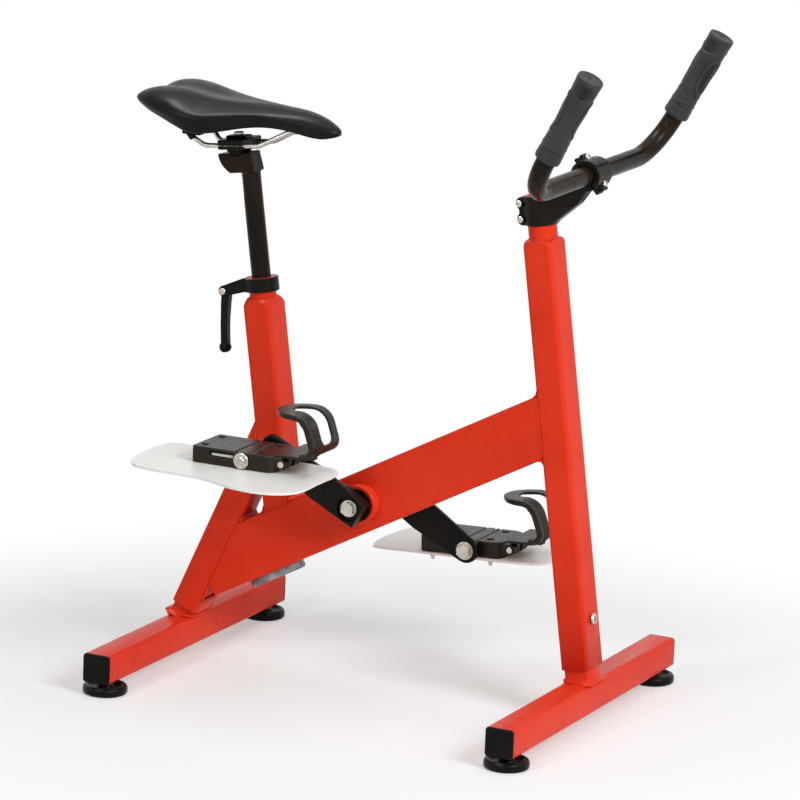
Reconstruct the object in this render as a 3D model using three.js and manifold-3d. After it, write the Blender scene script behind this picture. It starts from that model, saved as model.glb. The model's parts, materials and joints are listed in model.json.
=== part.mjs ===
// Aqua bike: a pedal bike that stands on the bottom of a pool.
// Millimetres, +Z up, +X towards the handlebar, +Y towards the rider's left.
// The origin is on the floor, under the middle of the whole bike.

import * as THREE from "three";
import { mergeVertices } from "three/addons/utils/BufferGeometryUtils.js";
import Module from "manifold-3d";

const wasm = await Module();
wasm.setup();

// Main sizes
const wheelbase = 595; // rear crossbar to front crossbar
const columnAhead = 3; // the column's axis passes this far ahead of the crossbar's middle
const frontBaseLength = 519; // crossbar tube, without its end caps
const rearBaseLength = 504;
const tubeSide = 40; // square tube of the crossbars, and the uprights seen from the side
const uprightWidth = 50; // uprights and main beam, from side to side
const tubeWall = 3;
const tubeCorner = 5;
const beamDepth = 80;
const footHeight = 18.5; // floor to the underside of the crossbars
const seatGap = 0.3; // clearance where one piece rests on another
const slipGap = 0.35; // clearance all round where one piece slides in another
const cutOverrun = 5; // how far a cutting body runs past what it cuts

// Frame lines
const columnLean = 8.5; // degrees back from the vertical, also the seat tube's
const strutLean = 23.6; // degrees forward from the vertical
const beamSlope = 28.5; // degrees up towards the column
const columnFootGap = 22; // crossbar to the column's lower end
const strutFootGap = 16; // crossbar to the strut's lower end, along its axis
const columnTopHeight = 702;
const columnNeckDrop = 71; // from the top down to where the square column starts to neck in
const seatTubeTopHeight = 541;
const seatNeckDrop = 40;
const shoulderLength = 14; // from the square tube to the round neck
const neckStep = 2; // height of the small step above a shoulder
const columnNeckDiameter = 38;
const columnShoulderDiameter = 41;
const seatNeckDiameter = 36;
const seatTubeReach = 141.6; // rear crossbar to the seat tube's axis, at the beam's top face
const spigotLength = 105; // stub tube on a crossbar, inside the column or the strut
const spigotBoltHeight = 84; // above the crossbar, along the spigot
const baseBoltDiameter = 8;
const baseBoltHeadDiameter = 16;
const baseBoltHeadHeight = 5;
const weldLeg = 8; // fillet weld at the foot of a spigot and at the beam's ends
const weldSeamShare = 0.3; // how thin the weld is half way up its leg
const beamEndTrim = 24; // the beam's lower corner is cut square this far from its tip
const beamTrimShare = 0.5; // how far up the cut goes, from the beam's middle

// Feet and end caps
const endCapThickness = 3;
const endCapPlugLength = 14;
const endCapPlugWall = 2.5;
const endCapBevel = 1;
const footInset = 24; // foot axis from the end of the crossbar tube
const padDiameter = 60;
const padHeight = 12.5;
const padEdgeRadius = 3;
const padRimWidth = 7;
const padRecessDepth = 3.5;
const padBossDiameter = 22;
const padSoleInset = 3; // the sole is drawn in a little from the rim
const studDiameter = 10;
const studLength = 34;
const studSocketDepth = 6;
const lockNutAcross = 17;
const lockNutThickness = 5.5;
const insertDiameter = 17; // threaded insert welded inside the crossbar
const insertHeight = 8;

// Bottom bracket and cranks
const bracketReach = 271; // rear crossbar to the crank axle
const bracketHeight = 259; // floor to the crank axle
const shellDiameter = 54;
const shellLength = 80;
const shellBore = 38;
const shellBevel = 2;
const bearingFlangeDiameter = 45;
const bearingFlangeThickness = 3.5;
const bearingDepth = 18;
const axleDiameter = 17;
const axleSquare = 12.7;
const axleEndSetback = 8; // axle end behind the crank's outer face
const crankLength = 134;
const crankAngle = 150; // degrees from +X up to the right crank
const crankOuterFace = 68; // from the middle of the bike
const crankBladeThickness = 9;
const crankBossThickness = 18.5;
const crankBossLength = 29;
const crankBossRamp = 6;
const crankEndOverhang = 18; // past the crank axle
const crankEndWidth = 38;
const crankMiddleWidth = 46;
const crankMiddleShare = 0.4; // widest place, as a share of the crank's length
const crankEyeDiameter = 36;
const crankBevel = 1.6;
const crankRecessDiameter = 33;
const crankRecessDepth = 6;
const crankBoltFlangeDiameter = 24;
const crankBoltFlangeThickness = 2.5;
const crankBoltAcross = 17;
const crankBoltHeadHeight = 6;
const crankBoltShank = 8;
const crankBoltShankLength = 20;

// Pedals
const pedalAxleDiameter = 12;
const pedalAxleHeadAcross = 19;
const pedalAxleHeadHeight = 6;
const pedalAxleHeadBevel = 1;
const pedalAxleWasherDiameter = 25;
const pedalAxleWasherThickness = 2;
const pedalInnerFace = 76; // pedal body, from the middle of the bike
const pedalWidth = 78;
const pedalRearReach = 75; // behind the pedal axle
const pedalFrontReach = 47;
const pedalEdge = 1; // small bevel round its top and bottom
const pedalTop = 11; // above the pedal axle
const pedalBottom = 11.5; // below it
const pedalFrontRadius = 15;
const pedalRearRadius = 4;
const pedalGrooveWidth = 3;
const pedalGrooveDepth = 2;
const pedalGrooveSpread = 20; // between the two cross grooves
const pedalScrewSpreadLong = 86; // the four plate screws, fore and aft
const pedalScrewSpreadWide = 48;
const pedalScrewMiddle = -20; // middle of the screw pattern, from the pedal axle
const pedalScrewHead = 11;
const pedalScrewHeadDepth = 4;
const pedalScrewHole = 5.6;
const pedalSlotLength = 36;
const pedalSlotHeight = 7;
const pedalSlotDepth = 8;
const pedalSlotMiddle = -30; // from the pedal axle
const axleCapDiameter = 22;
const axleCapThickness = 3;
const axleCapRecess = 1.6;
const axleCapCrossLength = 10;
const axleCapCrossWidth = 2.4;
const axleCapStem = 6; // screw that enters the end of the pedal axle
const axleCapStemLength = 12;
const lugRadius = 7.5;
const lugReach = 55; // toe cage pin, ahead of the pedal axle
const lugHeight = 1; // toe cage pin, above the pedal axle
const lugWidth = 9;
const lugSetback = 7; // outer lug, in from the pedal's outer face
const lugSpread = 27; // between the two outer lugs
const pinDiameter = 6;
const pinHeadDiameter = 9;
const pinHeadThickness = 2;
const leftPedalAngle = -2.5; // degrees, the left pedal's nose a little up

// Toe cage
const cageWidth = 76;
const cageThickness = 3.6;
const cageBaseStart = 54; // ahead of the pedal axle
const cageFrontReach = 109;
const cageBaseHeight = 14; // middle of the base plate above the pedal axle
const cageTopHeight = 70;
const cageTopFront = 90; // where the top starts to bend down
const cageTopEnd = 35; // rounded rear end of the top
const cageBend = 14;
const cageShoulderBend = 26;
const cageHoleFloor = 28; // lowest point of the opening
const cageHoleRear = 54;
const cageHoleWidth = 32;
const cageWideRail = 28; // the rail on the right-hand side is the wider one
const cageRibDepth = 8;
const cageRibWidth = 3.2;
const cageLugWidth = 8;

// Water plate
const plateThickness = 3;
const plateInnerEdge = 72; // from the middle of the bike
const plateWidth = 176;
const plateRearReach = 152;
const plateFrontReach = 117;

// Anode
const anodeLength = 84;
const anodeWidth = 24;
const anodeThickness = 10;
const anodeCornerShare = 0.75; // its ends, as a share of its half width
const anodeSoftShare = 0.2; // worn edge, as a share of its thickness
const anodeStart = 49; // from the beam's lower end, along its underside

// Seat post and collar
const postDiameter = 26.4;
const postWall = 2.6;
const postExposed = 143; // collar top to the foot of the head
const postInserted = 150;
const seatSlotWidth = 3;
const seatSlotLength = 34;
const seatSleeveLength = 60; // bored part of the seat tube
const collarWall = 4.8;
const collarHeight = 19;
const earReach = 54; // lever pin behind the seat tube's axis
const earDrop = 7; // lever pin below the middle of the collar
const earWidth = 24;
const earSlot = 12.8;
const earHeight = 15;
const earTipRadius = 7.5;
const leverLength = 86;
const leverWidth = 12;
const leverThickness = 9;
const leverEndRadius = 6.5;
const leverHubRadius = 6.2;
const leverBow = 5;
const leverPinDiameter = 6;
const leverPinHead = 9;
const leverPinHeadThickness = 2;

// Saddle clamp and rails
const headSetback = 13; // clamp behind the post's axis
const headHeight = 32;
const headWidth = 30;
const cradleRadius = 15; // round seat on which the clamp tilts
const cradleRiseShare = 0.4; // the clamp's middle above the head's top, as a share of that radius
const cradleLength = 54;
const headLobeShare = 0.62; // how far back the head's rounded underside starts
const clampLowerThickness = 5;
const clampUpperThickness = 8;
const clampCrownShare = 1.5; // height of its raised middle
const clampWidth = 56;
const clampLength = 38;
const clampBoltDiameter = 8;
const clampBoltHead = 14;
const clampBoltHeadHeight = 4;
const clampNutAcross = 13;
const clampNutHeight = 5;
const headFrontTrim = 5; // the head narrows towards the top in front
const cradleFloor = 5; // metal under the round seat
const tiltRoom = 5.5; // free travel of the bolt's foot, fore and aft
const railDiameter = 7;
const railSpacing = 44;
const railRearSpacing = 60;
const railFrontSpacing = 26;
const railFlatStart = -34; // all measured from the clamp's middle
const railFlatEnd = 34;
const railRearReach = -54;
const railFrontReach = 84;
const railRearRise = 13;
const railFrontRise = 18;
const railNoseStraight = 5; // straight run before the rod turns across under the nose

// Saddle
const saddleLength = 282;
const saddleHalfWidth = 80;
const saddleHeight = 60; // skirt corner to the crest of the rear lobes
const saddleRearOverhang = 132; // behind the clamp's middle
const saddleBase = 13; // skirt corner above the middle of the rails
const railTilt = 6; // degrees, the rails' flat part a little up at the front
const channelWidth = 30;
const channelDepth = 10;
const skirtThickness = 3.5;
const skirtDraw = 8; // how far the sides are drawn in from the seam down to the lower edge
const skirtDrawShare = 0.3; // of the half width, where the saddle is narrow
const shellThickness = 3;
const undersideShare = 0.85; // of the way from the lower edge up to the seam
const shellGap = 1.2; // under the padding
const socketSize = 13;
// Stations from the tail (0) to the nose (1)
const saddleStationShares = [0.0, 0.012, 0.035, 0.08, 0.15, 0.26, 0.35, 0.46, 0.56, 0.7, 0.82, 0.9, 0.96, 1.0];
const saddleWidthShares = [0.62, 0.72, 0.79, 0.87, 0.95, 1.0, 0.985, 0.78, 0.54, 0.38, 0.33, 0.28, 0.2, 0.06];
const saddleCrestShares = [0.735, 0.84, 0.914, 0.967, 1.0, 0.933, 0.822, 0.773, 0.754, 0.73, 0.706, 0.628, 0.503, 0.309];
const saddleSkirtShares = [0.657, 0.614, 0.57, 0.493, 0.387, 0.203, 0.02, 0.145, 0.271, 0.29, 0.19, 0.126, 0.135, 0.24];
const saddleSeamShares = [0.706, 0.696, 0.677, 0.657, 0.59, 0.464, 0.367, 0.483, 0.57, 0.527, 0.43, 0.309, 0.261, 0.275];
const lobePlaceShare = 0.64; // crest of a lobe, as a share of the half width
const channelEndShare = 0.56; // where the channel runs out, as a share of the length

// Stem, bar and grips
const stemClampHeight = 40;
const stemClampWall = 3.8;
const stemLugReach = 29.5; // from the neck's axis
const stemLugWidth = 29;
const stemLugHeight = 17;
const stemWaist = 4; // how far the web between the two lugs is set back
const stemSlotWidth = 3;
const stemBoltSpread = 21;
const stemBoltDiameter = 5;
const stemBoltWall = 1; // metal between a bolt and the column's neck
const stemBoltHead = 9;
const stemBoltHeadHeight = 4;
const stemArmWidth = 30;
const stemArmWaistShare = 0.84; // its narrowest width
const stemArmWaistPlaceShare = 0.6; // how far along the arm that is
const stemArmDepth = 34;
const stemArmDrop = 7; // how far the arm's middle hangs under the line from clamp to bar
const stemArmStart = 8; // where its first section stands, ahead of the neck's axis
const stemClampEdge = 2; // bevel round the clamp's two rims
const barDiameter = 25.4;
const barWall = 2.2;
const barReach = 570.5; // rear crossbar to the bar's middle
const barHeight = 737;
const barClampWall = 8;
const barClampWidth = 42;
const barClampLugWidth = 16;
const faceGap = 2.4; // between the stem and its faceplate
const faceLugThickness = 6;
const faceLugRadius = 2.5;
const faceBoltSpread = 40;
const gripSpacing = 424; // between the tops of the two grips
const barCornerSpacing = 404; // between the points where the bar turns up
const gripTopReach = 655;
const gripTopHeight = 897;
const barBend = 61;
const gripRadius = 16.6;
const gripRimRadius = 17.4;
const gripFootRadius = 17.4;
const gripWaistShare = 0.92;
const gripOverhang = 3; // rubber past the end of the bar
const gripRimLength = 5;
const gripRimSlope = 2; // from the rim down to the grip
const gripEdge = 1.5; // bevel round its top
const gripFootLip = 3;
const gripStationShares = [0.3, 0.55, 0.85]; // down from the top: start of the waist, waist, end of it
const gripLength = 124;

// How finely round things are divided
const largeSides = 22;
const roundSides = 16;
const boltSides = 12;
const smallSides = 8;

const degrees = Math.PI / 180;
const sixth = Math.PI / 3; // angle between two corners of a hexagon
const alongY = new THREE.Vector3(0, 1, 0);

// Paint and finishes
const finish = {
  red: new THREE.MeshStandardMaterial({ color: 0xd5331f, roughness: 0.38, metalness: 0.0 }),
  black: new THREE.MeshStandardMaterial({ color: 0x17171a, roughness: 0.45, metalness: 0.2 }),
  blackPlastic: new THREE.MeshStandardMaterial({ color: 0x1c1c1e, roughness: 0.55, metalness: 0.0 }),
  rubber: new THREE.MeshStandardMaterial({ color: 0x2e3031, roughness: 0.8, metalness: 0.0 }),
  steel: new THREE.MeshStandardMaterial({ color: 0xb9b4a8, roughness: 0.35, metalness: 0.9 }),
  zinc: new THREE.MeshStandardMaterial({ color: 0xa7a9ab, roughness: 0.55, metalness: 0.7 }),
  plate: new THREE.MeshStandardMaterial({ color: 0xe6e3df, roughness: 0.3, metalness: 0.0 }),
  cover: new THREE.MeshStandardMaterial({ color: 0x232326, roughness: 0.5, metalness: 0.0 }),
};

// Shapes

// One loop of points, counter-clockwise: a rectangle whose corners are arcs, or a circle.
function roundedLoop(halfX, halfY, radius, steps) {
  const points = [];
  for (let corner = 0; corner < 4; corner += 1) {
    const signX = corner === 0 || corner === 3 ? 1 : -1;
    const signY = corner < 2 ? 1 : -1;
    for (let i = 0; i < steps; i += 1) {
      const angle = (corner + (i + 0.5) / steps) * (Math.PI / 2);
      const x = signX * (halfX - radius) + radius * Math.cos(angle);
      const y = signY * (halfY - radius) + radius * Math.sin(angle);
      points.push(new THREE.Vector2(x, y));
    }
  }
  return points;
}

function circleLoop(radius, steps) {
  return roundedLoop(radius, radius, radius, steps);
}

// Stitches equal rings into one closed body, capped at its ends or joined end to end.
function loft(rings, ringIsClosed = false) {
  const count = rings[0].length;
  const positions = rings.flat().flatMap((p) => [p.x, p.y, p.z]);
  const index = [];
  const last = ringIsClosed ? rings.length : rings.length - 1;
  for (let r = 0; r < last; r += 1) {
    const next = (r + 1) % rings.length;
    for (let i = 0; i < count; i += 1) {
      const j = (i + 1) % count;
      const a = r * count + i;
      const b = r * count + j;
      const c = next * count + j;
      const d = next * count + i;
      index.push(a, b, c, a, c, d);
    }
  }
  if (!ringIsClosed) {
    const end = (rings.length - 1) * count;
    for (let i = 1; i < count - 1; i += 1) {
      index.push(0, i + 1, i);
      index.push(end, end + i, end + i + 1);
    }
  }
  const geometry = new THREE.BufferGeometry();
  geometry.setAttribute("position", new THREE.Float32BufferAttribute(positions, 3));
  geometry.setIndex(index);
  return facingOut(geometry);
}

// Turns every face round if the body's volume comes out negative.
function facingOut(geometry) {
  const p = geometry.attributes.position;
  const a = new THREE.Vector3();
  const b = new THREE.Vector3();
  const c = new THREE.Vector3();
  const index = geometry.index.array;
  let volume = 0;
  for (let i = 0; i < index.length; i += 3) {
    a.fromBufferAttribute(p, index[i]);
    b.fromBufferAttribute(p, index[i + 1]);
    c.fromBufferAttribute(p, index[i + 2]);
    volume += a.dot(b.cross(c));
  }
  if (volume < 0) {
    for (let i = 0; i < index.length; i += 3) {
      const keep = index[i + 1];
      index[i + 1] = index[i + 2];
      index[i + 2] = keep;
    }
  }
  return geometry;
}

// A loop at a height on the local Z axis.
function ringAt(loop, height) {
  return loop.map((p) => new THREE.Vector3(p.x, p.y, height));
}

// A turned body on the Z axis from radius and height pairs that start and end on the axis,
// or close on themselves.
function turned(profile, segments = roundSides) {
  const points = profile.map(([radius, height]) => new THREE.Vector2(radius, height));
  const geometry = new THREE.LatheGeometry(points, segments).rotateX(Math.PI / 2);
  return geometry;
}

// A solid rod with bevelled ends between two heights.
function rod(diameter, from, to, bevel = 0, segments = roundSides) {
  const r = diameter / 2;
  return turned(
    [[0, from], [r - bevel, from], [r, from + bevel], [r, to - bevel], [r - bevel, to], [0, to]]
      .filter(([x, z], i, all) => i === 0 || x !== all[i - 1][0] || z !== all[i - 1][1]),
    segments,
  );
}

// A ring-shaped body between two heights.
function pipe(outer, inner, from, to, segments = roundSides) {
  const profile = [[inner / 2, from], [outer / 2, from], [outer / 2, to], [inner / 2, to]];
  return turned([...profile, profile[0]], segments);
}

function hexagon(across, from, to, bevel = 0) {
  const corner = across / 2 / Math.cos(sixth / 2);
  const turns = [0, 1, 2, 3, 4, 5];
  const loop = (radius) =>
    turns.map((i) => new THREE.Vector2(radius * Math.cos(i * sixth), radius * Math.sin(i * sixth)));
  const rings = [ringAt(loop(corner), from), ringAt(loop(corner), to - bevel)];
  if (bevel > 0) rings.push(ringAt(loop(corner - bevel), to));
  return loft(rings);
}

// A box from its lowest to its highest corner.
function block(x0, x1, y0, y1, z0, z1) {
  const geometry = new THREE.BoxGeometry(x1 - x0, y1 - y0, z1 - z0);
  return geometry.translate((x0 + x1) / 2, (y0 + y1) / 2, (z0 + z1) / 2);
}

// An outline in X and Z, given a width along Y.
function slab(shape, y0, y1, curveSegments = 6) {
  const geometry = new THREE.ExtrudeGeometry(shape, {
    depth: y1 - y0,
    bevelEnabled: false,
    curveSegments,
  });
  return geometry.rotateX(Math.PI / 2).translate(0, y1, 0);
}

function shapeOf(points) {
  return new THREE.Shape(points.map(([x, y]) => new THREE.Vector2(x, y)));
}

// A body swept along a list of points, with the loop turned square to the way at each.
function sweepRings(points, loop, upright) {
  return points.map((point, i) => {
    const before = points[Math.max(i - 1, 0)];
    const after = points[Math.min(i + 1, points.length - 1)];
    const ahead = after.clone().sub(before).normalize();
    const side = upright.clone().cross(ahead).normalize();
    const up = ahead.clone().cross(side);
    return loop.map((p) => point.clone().addScaledVector(side, p.x).addScaledVector(up, p.y));
  });
}

// A path of straight lines whose corners are rounded by arcs of one radius.
function roundedPath(corners, radii, stepsPerBend) {
  const path = [corners[0].clone()];
  for (let i = 1; i < corners.length - 1; i += 1) {
    const back = corners[i - 1].clone().sub(corners[i]).normalize();
    const on = corners[i + 1].clone().sub(corners[i]).normalize();
    const half = back.angleTo(on) / 2;
    const radius = radii[i - 1];
    const reach = radius / Math.tan(half);
    const centre = back.clone().add(on).normalize().multiplyScalar(radius / Math.sin(half));
    centre.add(corners[i]);
    const start = corners[i].clone().addScaledVector(back, reach).sub(centre);
    const end = corners[i].clone().addScaledVector(on, reach).sub(centre);
    const sweep = Math.PI - 2 * half;
    for (let s = 0; s <= stepsPerBend; s += 1) {
      const t = s / stepsPerBend;
      const a = Math.sin((1 - t) * sweep) / Math.sin(sweep);
      const b = Math.sin(t * sweep) / Math.sin(sweep);
      path.push(start.clone().multiplyScalar(a).addScaledVector(end, b).add(centre));
    }
  }
  path.push(corners[corners.length - 1].clone());
  return path;
}

// Joining and cutting

function solidOf(geometry) {
  const bare = geometry.clone();
  bare.deleteAttribute("normal");
  bare.deleteAttribute("uv");
  const merged = mergeVertices(bare, 1e-4);
  return new wasm.Manifold(
    new wasm.Mesh({
      numProp: 3,
      vertProperties: new Float32Array(merged.attributes.position.array),
      triVerts: new Uint32Array(merged.index.array),
    }),
  );
}

function geometryOf(solid) {
  const mesh = solid.getMesh();
  const geometry = new THREE.BufferGeometry();
  geometry.setAttribute("position", new THREE.BufferAttribute(new Float32Array(mesh.vertProperties), 3));
  geometry.setIndex(new THREE.BufferAttribute(new Uint32Array(mesh.triVerts), 1));
  return geometry;
}

function join(first, ...others) {
  return geometryOf(others.reduce((sum, next) => sum.add(solidOf(next)), solidOf(first)));
}

function cut(body, ...tools) {
  return geometryOf(tools.reduce((rest, tool) => rest.subtract(solidOf(tool)), solidOf(body)));
}

function common(body, other) {
  return geometryOf(solidOf(body).intersect(solidOf(other)));
}

// Turns a body made on the Z axis to lie along Y.
function ontoY(geometry) {
  return geometry.rotateX(-Math.PI / 2);
}

// Scene graph

const bike = new THREE.Group();
bike.name = "aqua_bike";

function addPiece(parent, name, geometry, material) {
  geometry.computeVertexNormals();
  const mesh = new THREE.Mesh(geometry, material);
  mesh.name = name;
  parent.add(mesh);
  return mesh;
}

function addGroup(parent, name, x, y, z, turn = 0) {
  const group = new THREE.Group();
  group.name = name;
  group.position.set(x, y, z);
  group.rotation.y = turn;
  parent.add(group);
  return group;
}

// Frame lines, each with its own group whose Z runs up the tube

const crossbarTop = footHeight + tubeSide;
const crossbarMiddle = footHeight + tubeSide / 2;
const column = addGroup(bike, "column_line", wheelbase + columnAhead, 0, crossbarMiddle, -columnLean * degrees);
const strut = addGroup(bike, "strut_line", 0, 0, crossbarTop, strutLean * degrees);
const beam = addGroup(bike, "beam_line", bracketReach, 0, bracketHeight, -beamSlope * degrees);

// A point of the plan view of the frame: where a leaning line is at a height.
const beamTopAt = (x) =>
  bracketHeight + (x - bracketReach) * Math.tan(beamSlope * degrees) + beamDepth / 2 / Math.cos(beamSlope * degrees);
const seatTube = addGroup(bike, "seat_tube_line", seatTubeReach, 0, beamTopAt(seatTubeReach), -columnLean * degrees);

// The height along a leaning tube's axis at which it reaches a height above the floor.
function alongLean(group, lean, height) {
  return (height - group.position.z) / Math.cos(lean * degrees);
}

// Where a line of a tube, at an offset from its axis, meets a plane of the side view.
function reachTo(group, plane, offset) {
  const turn = group.rotation.y;
  const axis = new THREE.Vector2(Math.sin(turn), Math.cos(turn));
  const side = new THREE.Vector2(Math.cos(turn), -Math.sin(turn));
  const from = new THREE.Vector2(group.position.x, group.position.z).addScaledVector(side, offset);
  return plane.normal.dot(plane.point.clone().sub(from)) / plane.normal.dot(axis);
}

// The face of a tube as a plane of the side view, lifted off by a clearance.
function faceOf(group, offset, clearance) {
  const turn = group.rotation.y;
  const side = new THREE.Vector2(Math.cos(turn), -Math.sin(turn));
  const out = offset < 0 ? -clearance : clearance;
  const point = new THREE.Vector2(group.position.x, group.position.z).addScaledVector(side, offset + out);
  return { point, normal: side };
}

// The beam's own group has its X along the beam, so its faces are given here.
function beamFace(offset, clearance) {
  const slope = beamSlope * degrees;
  const normal = new THREE.Vector2(-Math.sin(slope), Math.cos(slope));
  const out = offset < 0 ? -clearance : clearance;
  const point = new THREE.Vector2(bracketReach, bracketHeight).addScaledVector(normal, offset + out);
  return { point, normal };
}

function levelPlane(height) {
  return { point: new THREE.Vector2(0, height), normal: new THREE.Vector2(0, 1) };
}

const boreHalf = tubeSide / 2 - tubeWall;
const boreHalfWidth = uprightWidth / 2 - tubeWall;
const boreCorner = tubeCorner - tubeWall;
const cornerSteps = 4;

const uprightLoop = roundedLoop(tubeSide / 2, uprightWidth / 2, tubeCorner, cornerSteps);
const uprightBore = roundedLoop(boreHalf, boreHalfWidth, boreCorner, cornerSteps);

// Rings of a square tube whose ends lie on two planes of the side view.
function mitredRing(group, loop, plane) {
  return loop.map((p) => new THREE.Vector3(p.x, p.y, reachTo(group, plane, p.x)));
}

// A concave fillet weld round a tube's foot: rings that widen towards the foot.
function weldRings(halfX, halfY, corner, foot, leg) {
  return [0, 0.35, 0.7, 1].map((share) => {
    const flare = leg * (1 - share) * (1 - share);
    return ringAt(
      roundedLoop(halfX + flare, halfY + flare, corner + flare, cornerSteps),
      foot + leg * share,
    );
  });
}

// A crossbar along Y with the spigot that is welded onto it.
function makeBase(length, lean, axisOffset, boltSide) {
  const half = length / 2;
  const outer = roundedLoop(tubeSide / 2, tubeSide / 2, tubeCorner, cornerSteps);
  const inner = roundedLoop(boreHalf, boreHalf, boreCorner, cornerSteps);
  const across = (loop, y) => loop.map((p) => new THREE.Vector3(p.x, y, p.y - tubeSide / 2));
  const bar = loft([across(outer, -half), across(outer, half), across(inner, half), across(inner, -half)], true);
  const halfX = boreHalf - slipGap;
  const halfY = boreHalfWidth - slipGap;
  const foot = -tubeWall / 2;
  const outside = roundedLoop(halfX, halfY, boreCorner, cornerSteps);
  const inside = roundedLoop(halfX - tubeWall, halfY - tubeWall, boreCorner / 2, cornerSteps);
  const spigot = loft([
    ringAt(outside, foot),
    ringAt(outside, spigotLength),
    ringAt(inside, spigotLength),
    ringAt(inside, 0),
  ]);
  const weld = loft(weldRings(halfX, halfY, boreCorner, foot, weldLeg));
  const hole = rod(baseBoltDiameter + 2 * slipGap, 0, tubeSide).rotateY((boltSide * Math.PI) / 2);
  const stub = cut(join(spigot, weld), hole.translate(0, 0, spigotBoltHeight));
  stub.rotateY(lean).translate(axisOffset, 0, 0);
  const underBar = block(-tubeSide, tubeSide, -half, half, -tubeSide, -tubeWall);
  let base = join(bar, cut(stub, underBar));
  for (const side of [-1, 1]) {
    const place = side * (half - footInset);
    const floor = tubeWall - tubeSide;
    const insert = rod(insertDiameter, floor - tubeWall / 2, floor + insertHeight).translate(0, place, 0);
    const bore = rod(studDiameter + 2 * slipGap, -tubeSide - cutOverrun, floor + insertHeight + cutOverrun);
    base = cut(join(base, insert), bore.translate(0, place, 0));
  }
  return base;
}

function makeEndCap() {
  const half = tubeSide / 2;
  const plug = boreHalf - slipGap;
  const hollow = plug - endCapPlugWall;
  const at = (size, corner, y) =>
    roundedLoop(size, size, corner, cornerSteps).map((p) => new THREE.Vector3(p.x, y, p.y));
  return loft([
    at(half - endCapBevel, tubeCorner - endCapBevel, endCapThickness),
    at(half, tubeCorner, endCapThickness - endCapBevel),
    at(half, tubeCorner, seatGap),
    at(plug, boreCorner, seatGap),
    at(plug, boreCorner, -endCapPlugLength),
    at(hollow, boreCorner / 2, -endCapPlugLength),
    at(hollow, boreCorner / 2, 0),
  ]);
}

// A round levelling pad with a raised rim, a recess and a socket for its stud.
function makeFootPad() {
  const outer = padDiameter / 2;
  const rim = outer - padRimWidth;
  const boss = padBossDiameter / 2;
  const socket = studDiameter / 2 + slipGap;
  const recess = padHeight - padRecessDepth;
  const edge = [];
  for (let i = 0; i <= 3; i += 1) {
    const angle = (i * Math.PI) / 6;
    edge.push([outer - padEdgeRadius * (1 - Math.cos(angle)), padHeight - padEdgeRadius * (1 - Math.sin(angle))]);
  }
  return turned([
    [0, 0],
    [outer - padSoleInset, 0],
    [outer, padSoleInset],
    ...edge,
    [rim, padHeight],
    [rim - padRecessDepth, recess],
    [boss, recess],
    [boss, padHeight],
    [socket, padHeight],
    [socket, padHeight - studSocketDepth],
    [0, padHeight - studSocketDepth],
  ]);
}

// A threaded stud with its lock nut, which bears against the crossbar.
function makeFootStud() {
  const foot = padHeight - studSocketDepth + seatGap;
  const stud = rod(studDiameter, foot, foot + studLength, studDiameter / 8, smallSides);
  const nutTop = footHeight - seatGap;
  return join(stud, hexagon(lockNutAcross, nutTop - lockNutThickness, nutTop));
}

// A leaning square tube that necks in to a round tube at its top.
function neckedTube(group, footPlane, lean, shoulder, top, neckRadius, shoulderRadius, boreRadius, sleeve) {
  const t0 = alongLean(group, lean, shoulder);
  const t1 = t0 + shoulderLength;
  const t2 = alongLean(group, lean, top);
  const sleeveFoot = Math.min(t2 - sleeve, t0);
  const middle = (tubeSide / 2 + shoulderRadius) / 2;
  const middleWidth = (uprightWidth / 2 + shoulderRadius) / 2;
  const bend = (tubeCorner + shoulderRadius) / 2;
  return loft(
    [
      mitredRing(group, uprightLoop, footPlane),
      ringAt(uprightLoop, t0),
      ringAt(roundedLoop(middle, middleWidth, bend, cornerSteps), (t0 + t1) / 2),
      ringAt(circleLoop(shoulderRadius, cornerSteps), t1),
      ringAt(circleLoop(neckRadius, cornerSteps), t1 + neckStep),
      ringAt(circleLoop(neckRadius, cornerSteps), t2),
      ringAt(circleLoop(boreRadius, cornerSteps), t2),
      ringAt(circleLoop(boreRadius, cornerSteps), sleeveFoot),
      ringAt(uprightBore, sleeveFoot - shoulderLength),
      mitredRing(group, uprightBore, footPlane),
    ],
    true,
  );
}

function makeColumn() {
  const neck = columnNeckDiameter / 2;
  const tube = neckedTube(
    column,
    levelPlane(crossbarTop + columnFootGap),
    columnLean,
    columnTopHeight - columnNeckDrop,
    columnTopHeight,
    neck,
    columnShoulderDiameter / 2,
    neck - tubeWall,
    stemClampHeight,
  );
  const bolt = rod(baseBoltDiameter + 2 * slipGap, 0, tubeSide).rotateY(Math.PI / 2);
  return cut(tube, bolt.translate(0, 0, columnBoltPlace));
}

// The spigot starts at the crossbar's top, where the column's axis has moved by its lean.
const columnFootOffset = columnAhead - (tubeSide / 2) * Math.tan(columnLean * degrees);
const columnBoltPlace = tubeSide / 2 / Math.cos(columnLean * degrees) + spigotBoltHeight;

function makeSeatTube() {
  const bore = postDiameter / 2 + slipGap;
  const neck = seatNeckDiameter / 2;
  const tube = neckedTube(
    seatTube,
    beamFace(beamDepth / 2, seatGap),
    columnLean,
    seatTubeTopHeight - seatNeckDrop,
    seatTubeTopHeight,
    neck,
    neck,
    bore,
    seatSleeveLength,
  );
  const top = alongLean(seatTube, columnLean, seatTubeTopHeight);
  const half = seatSlotWidth / 2;
  return cut(tube, block(-tubeSide, 0, -half, half, top - seatSlotLength, top + cutOverrun));
}

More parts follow.
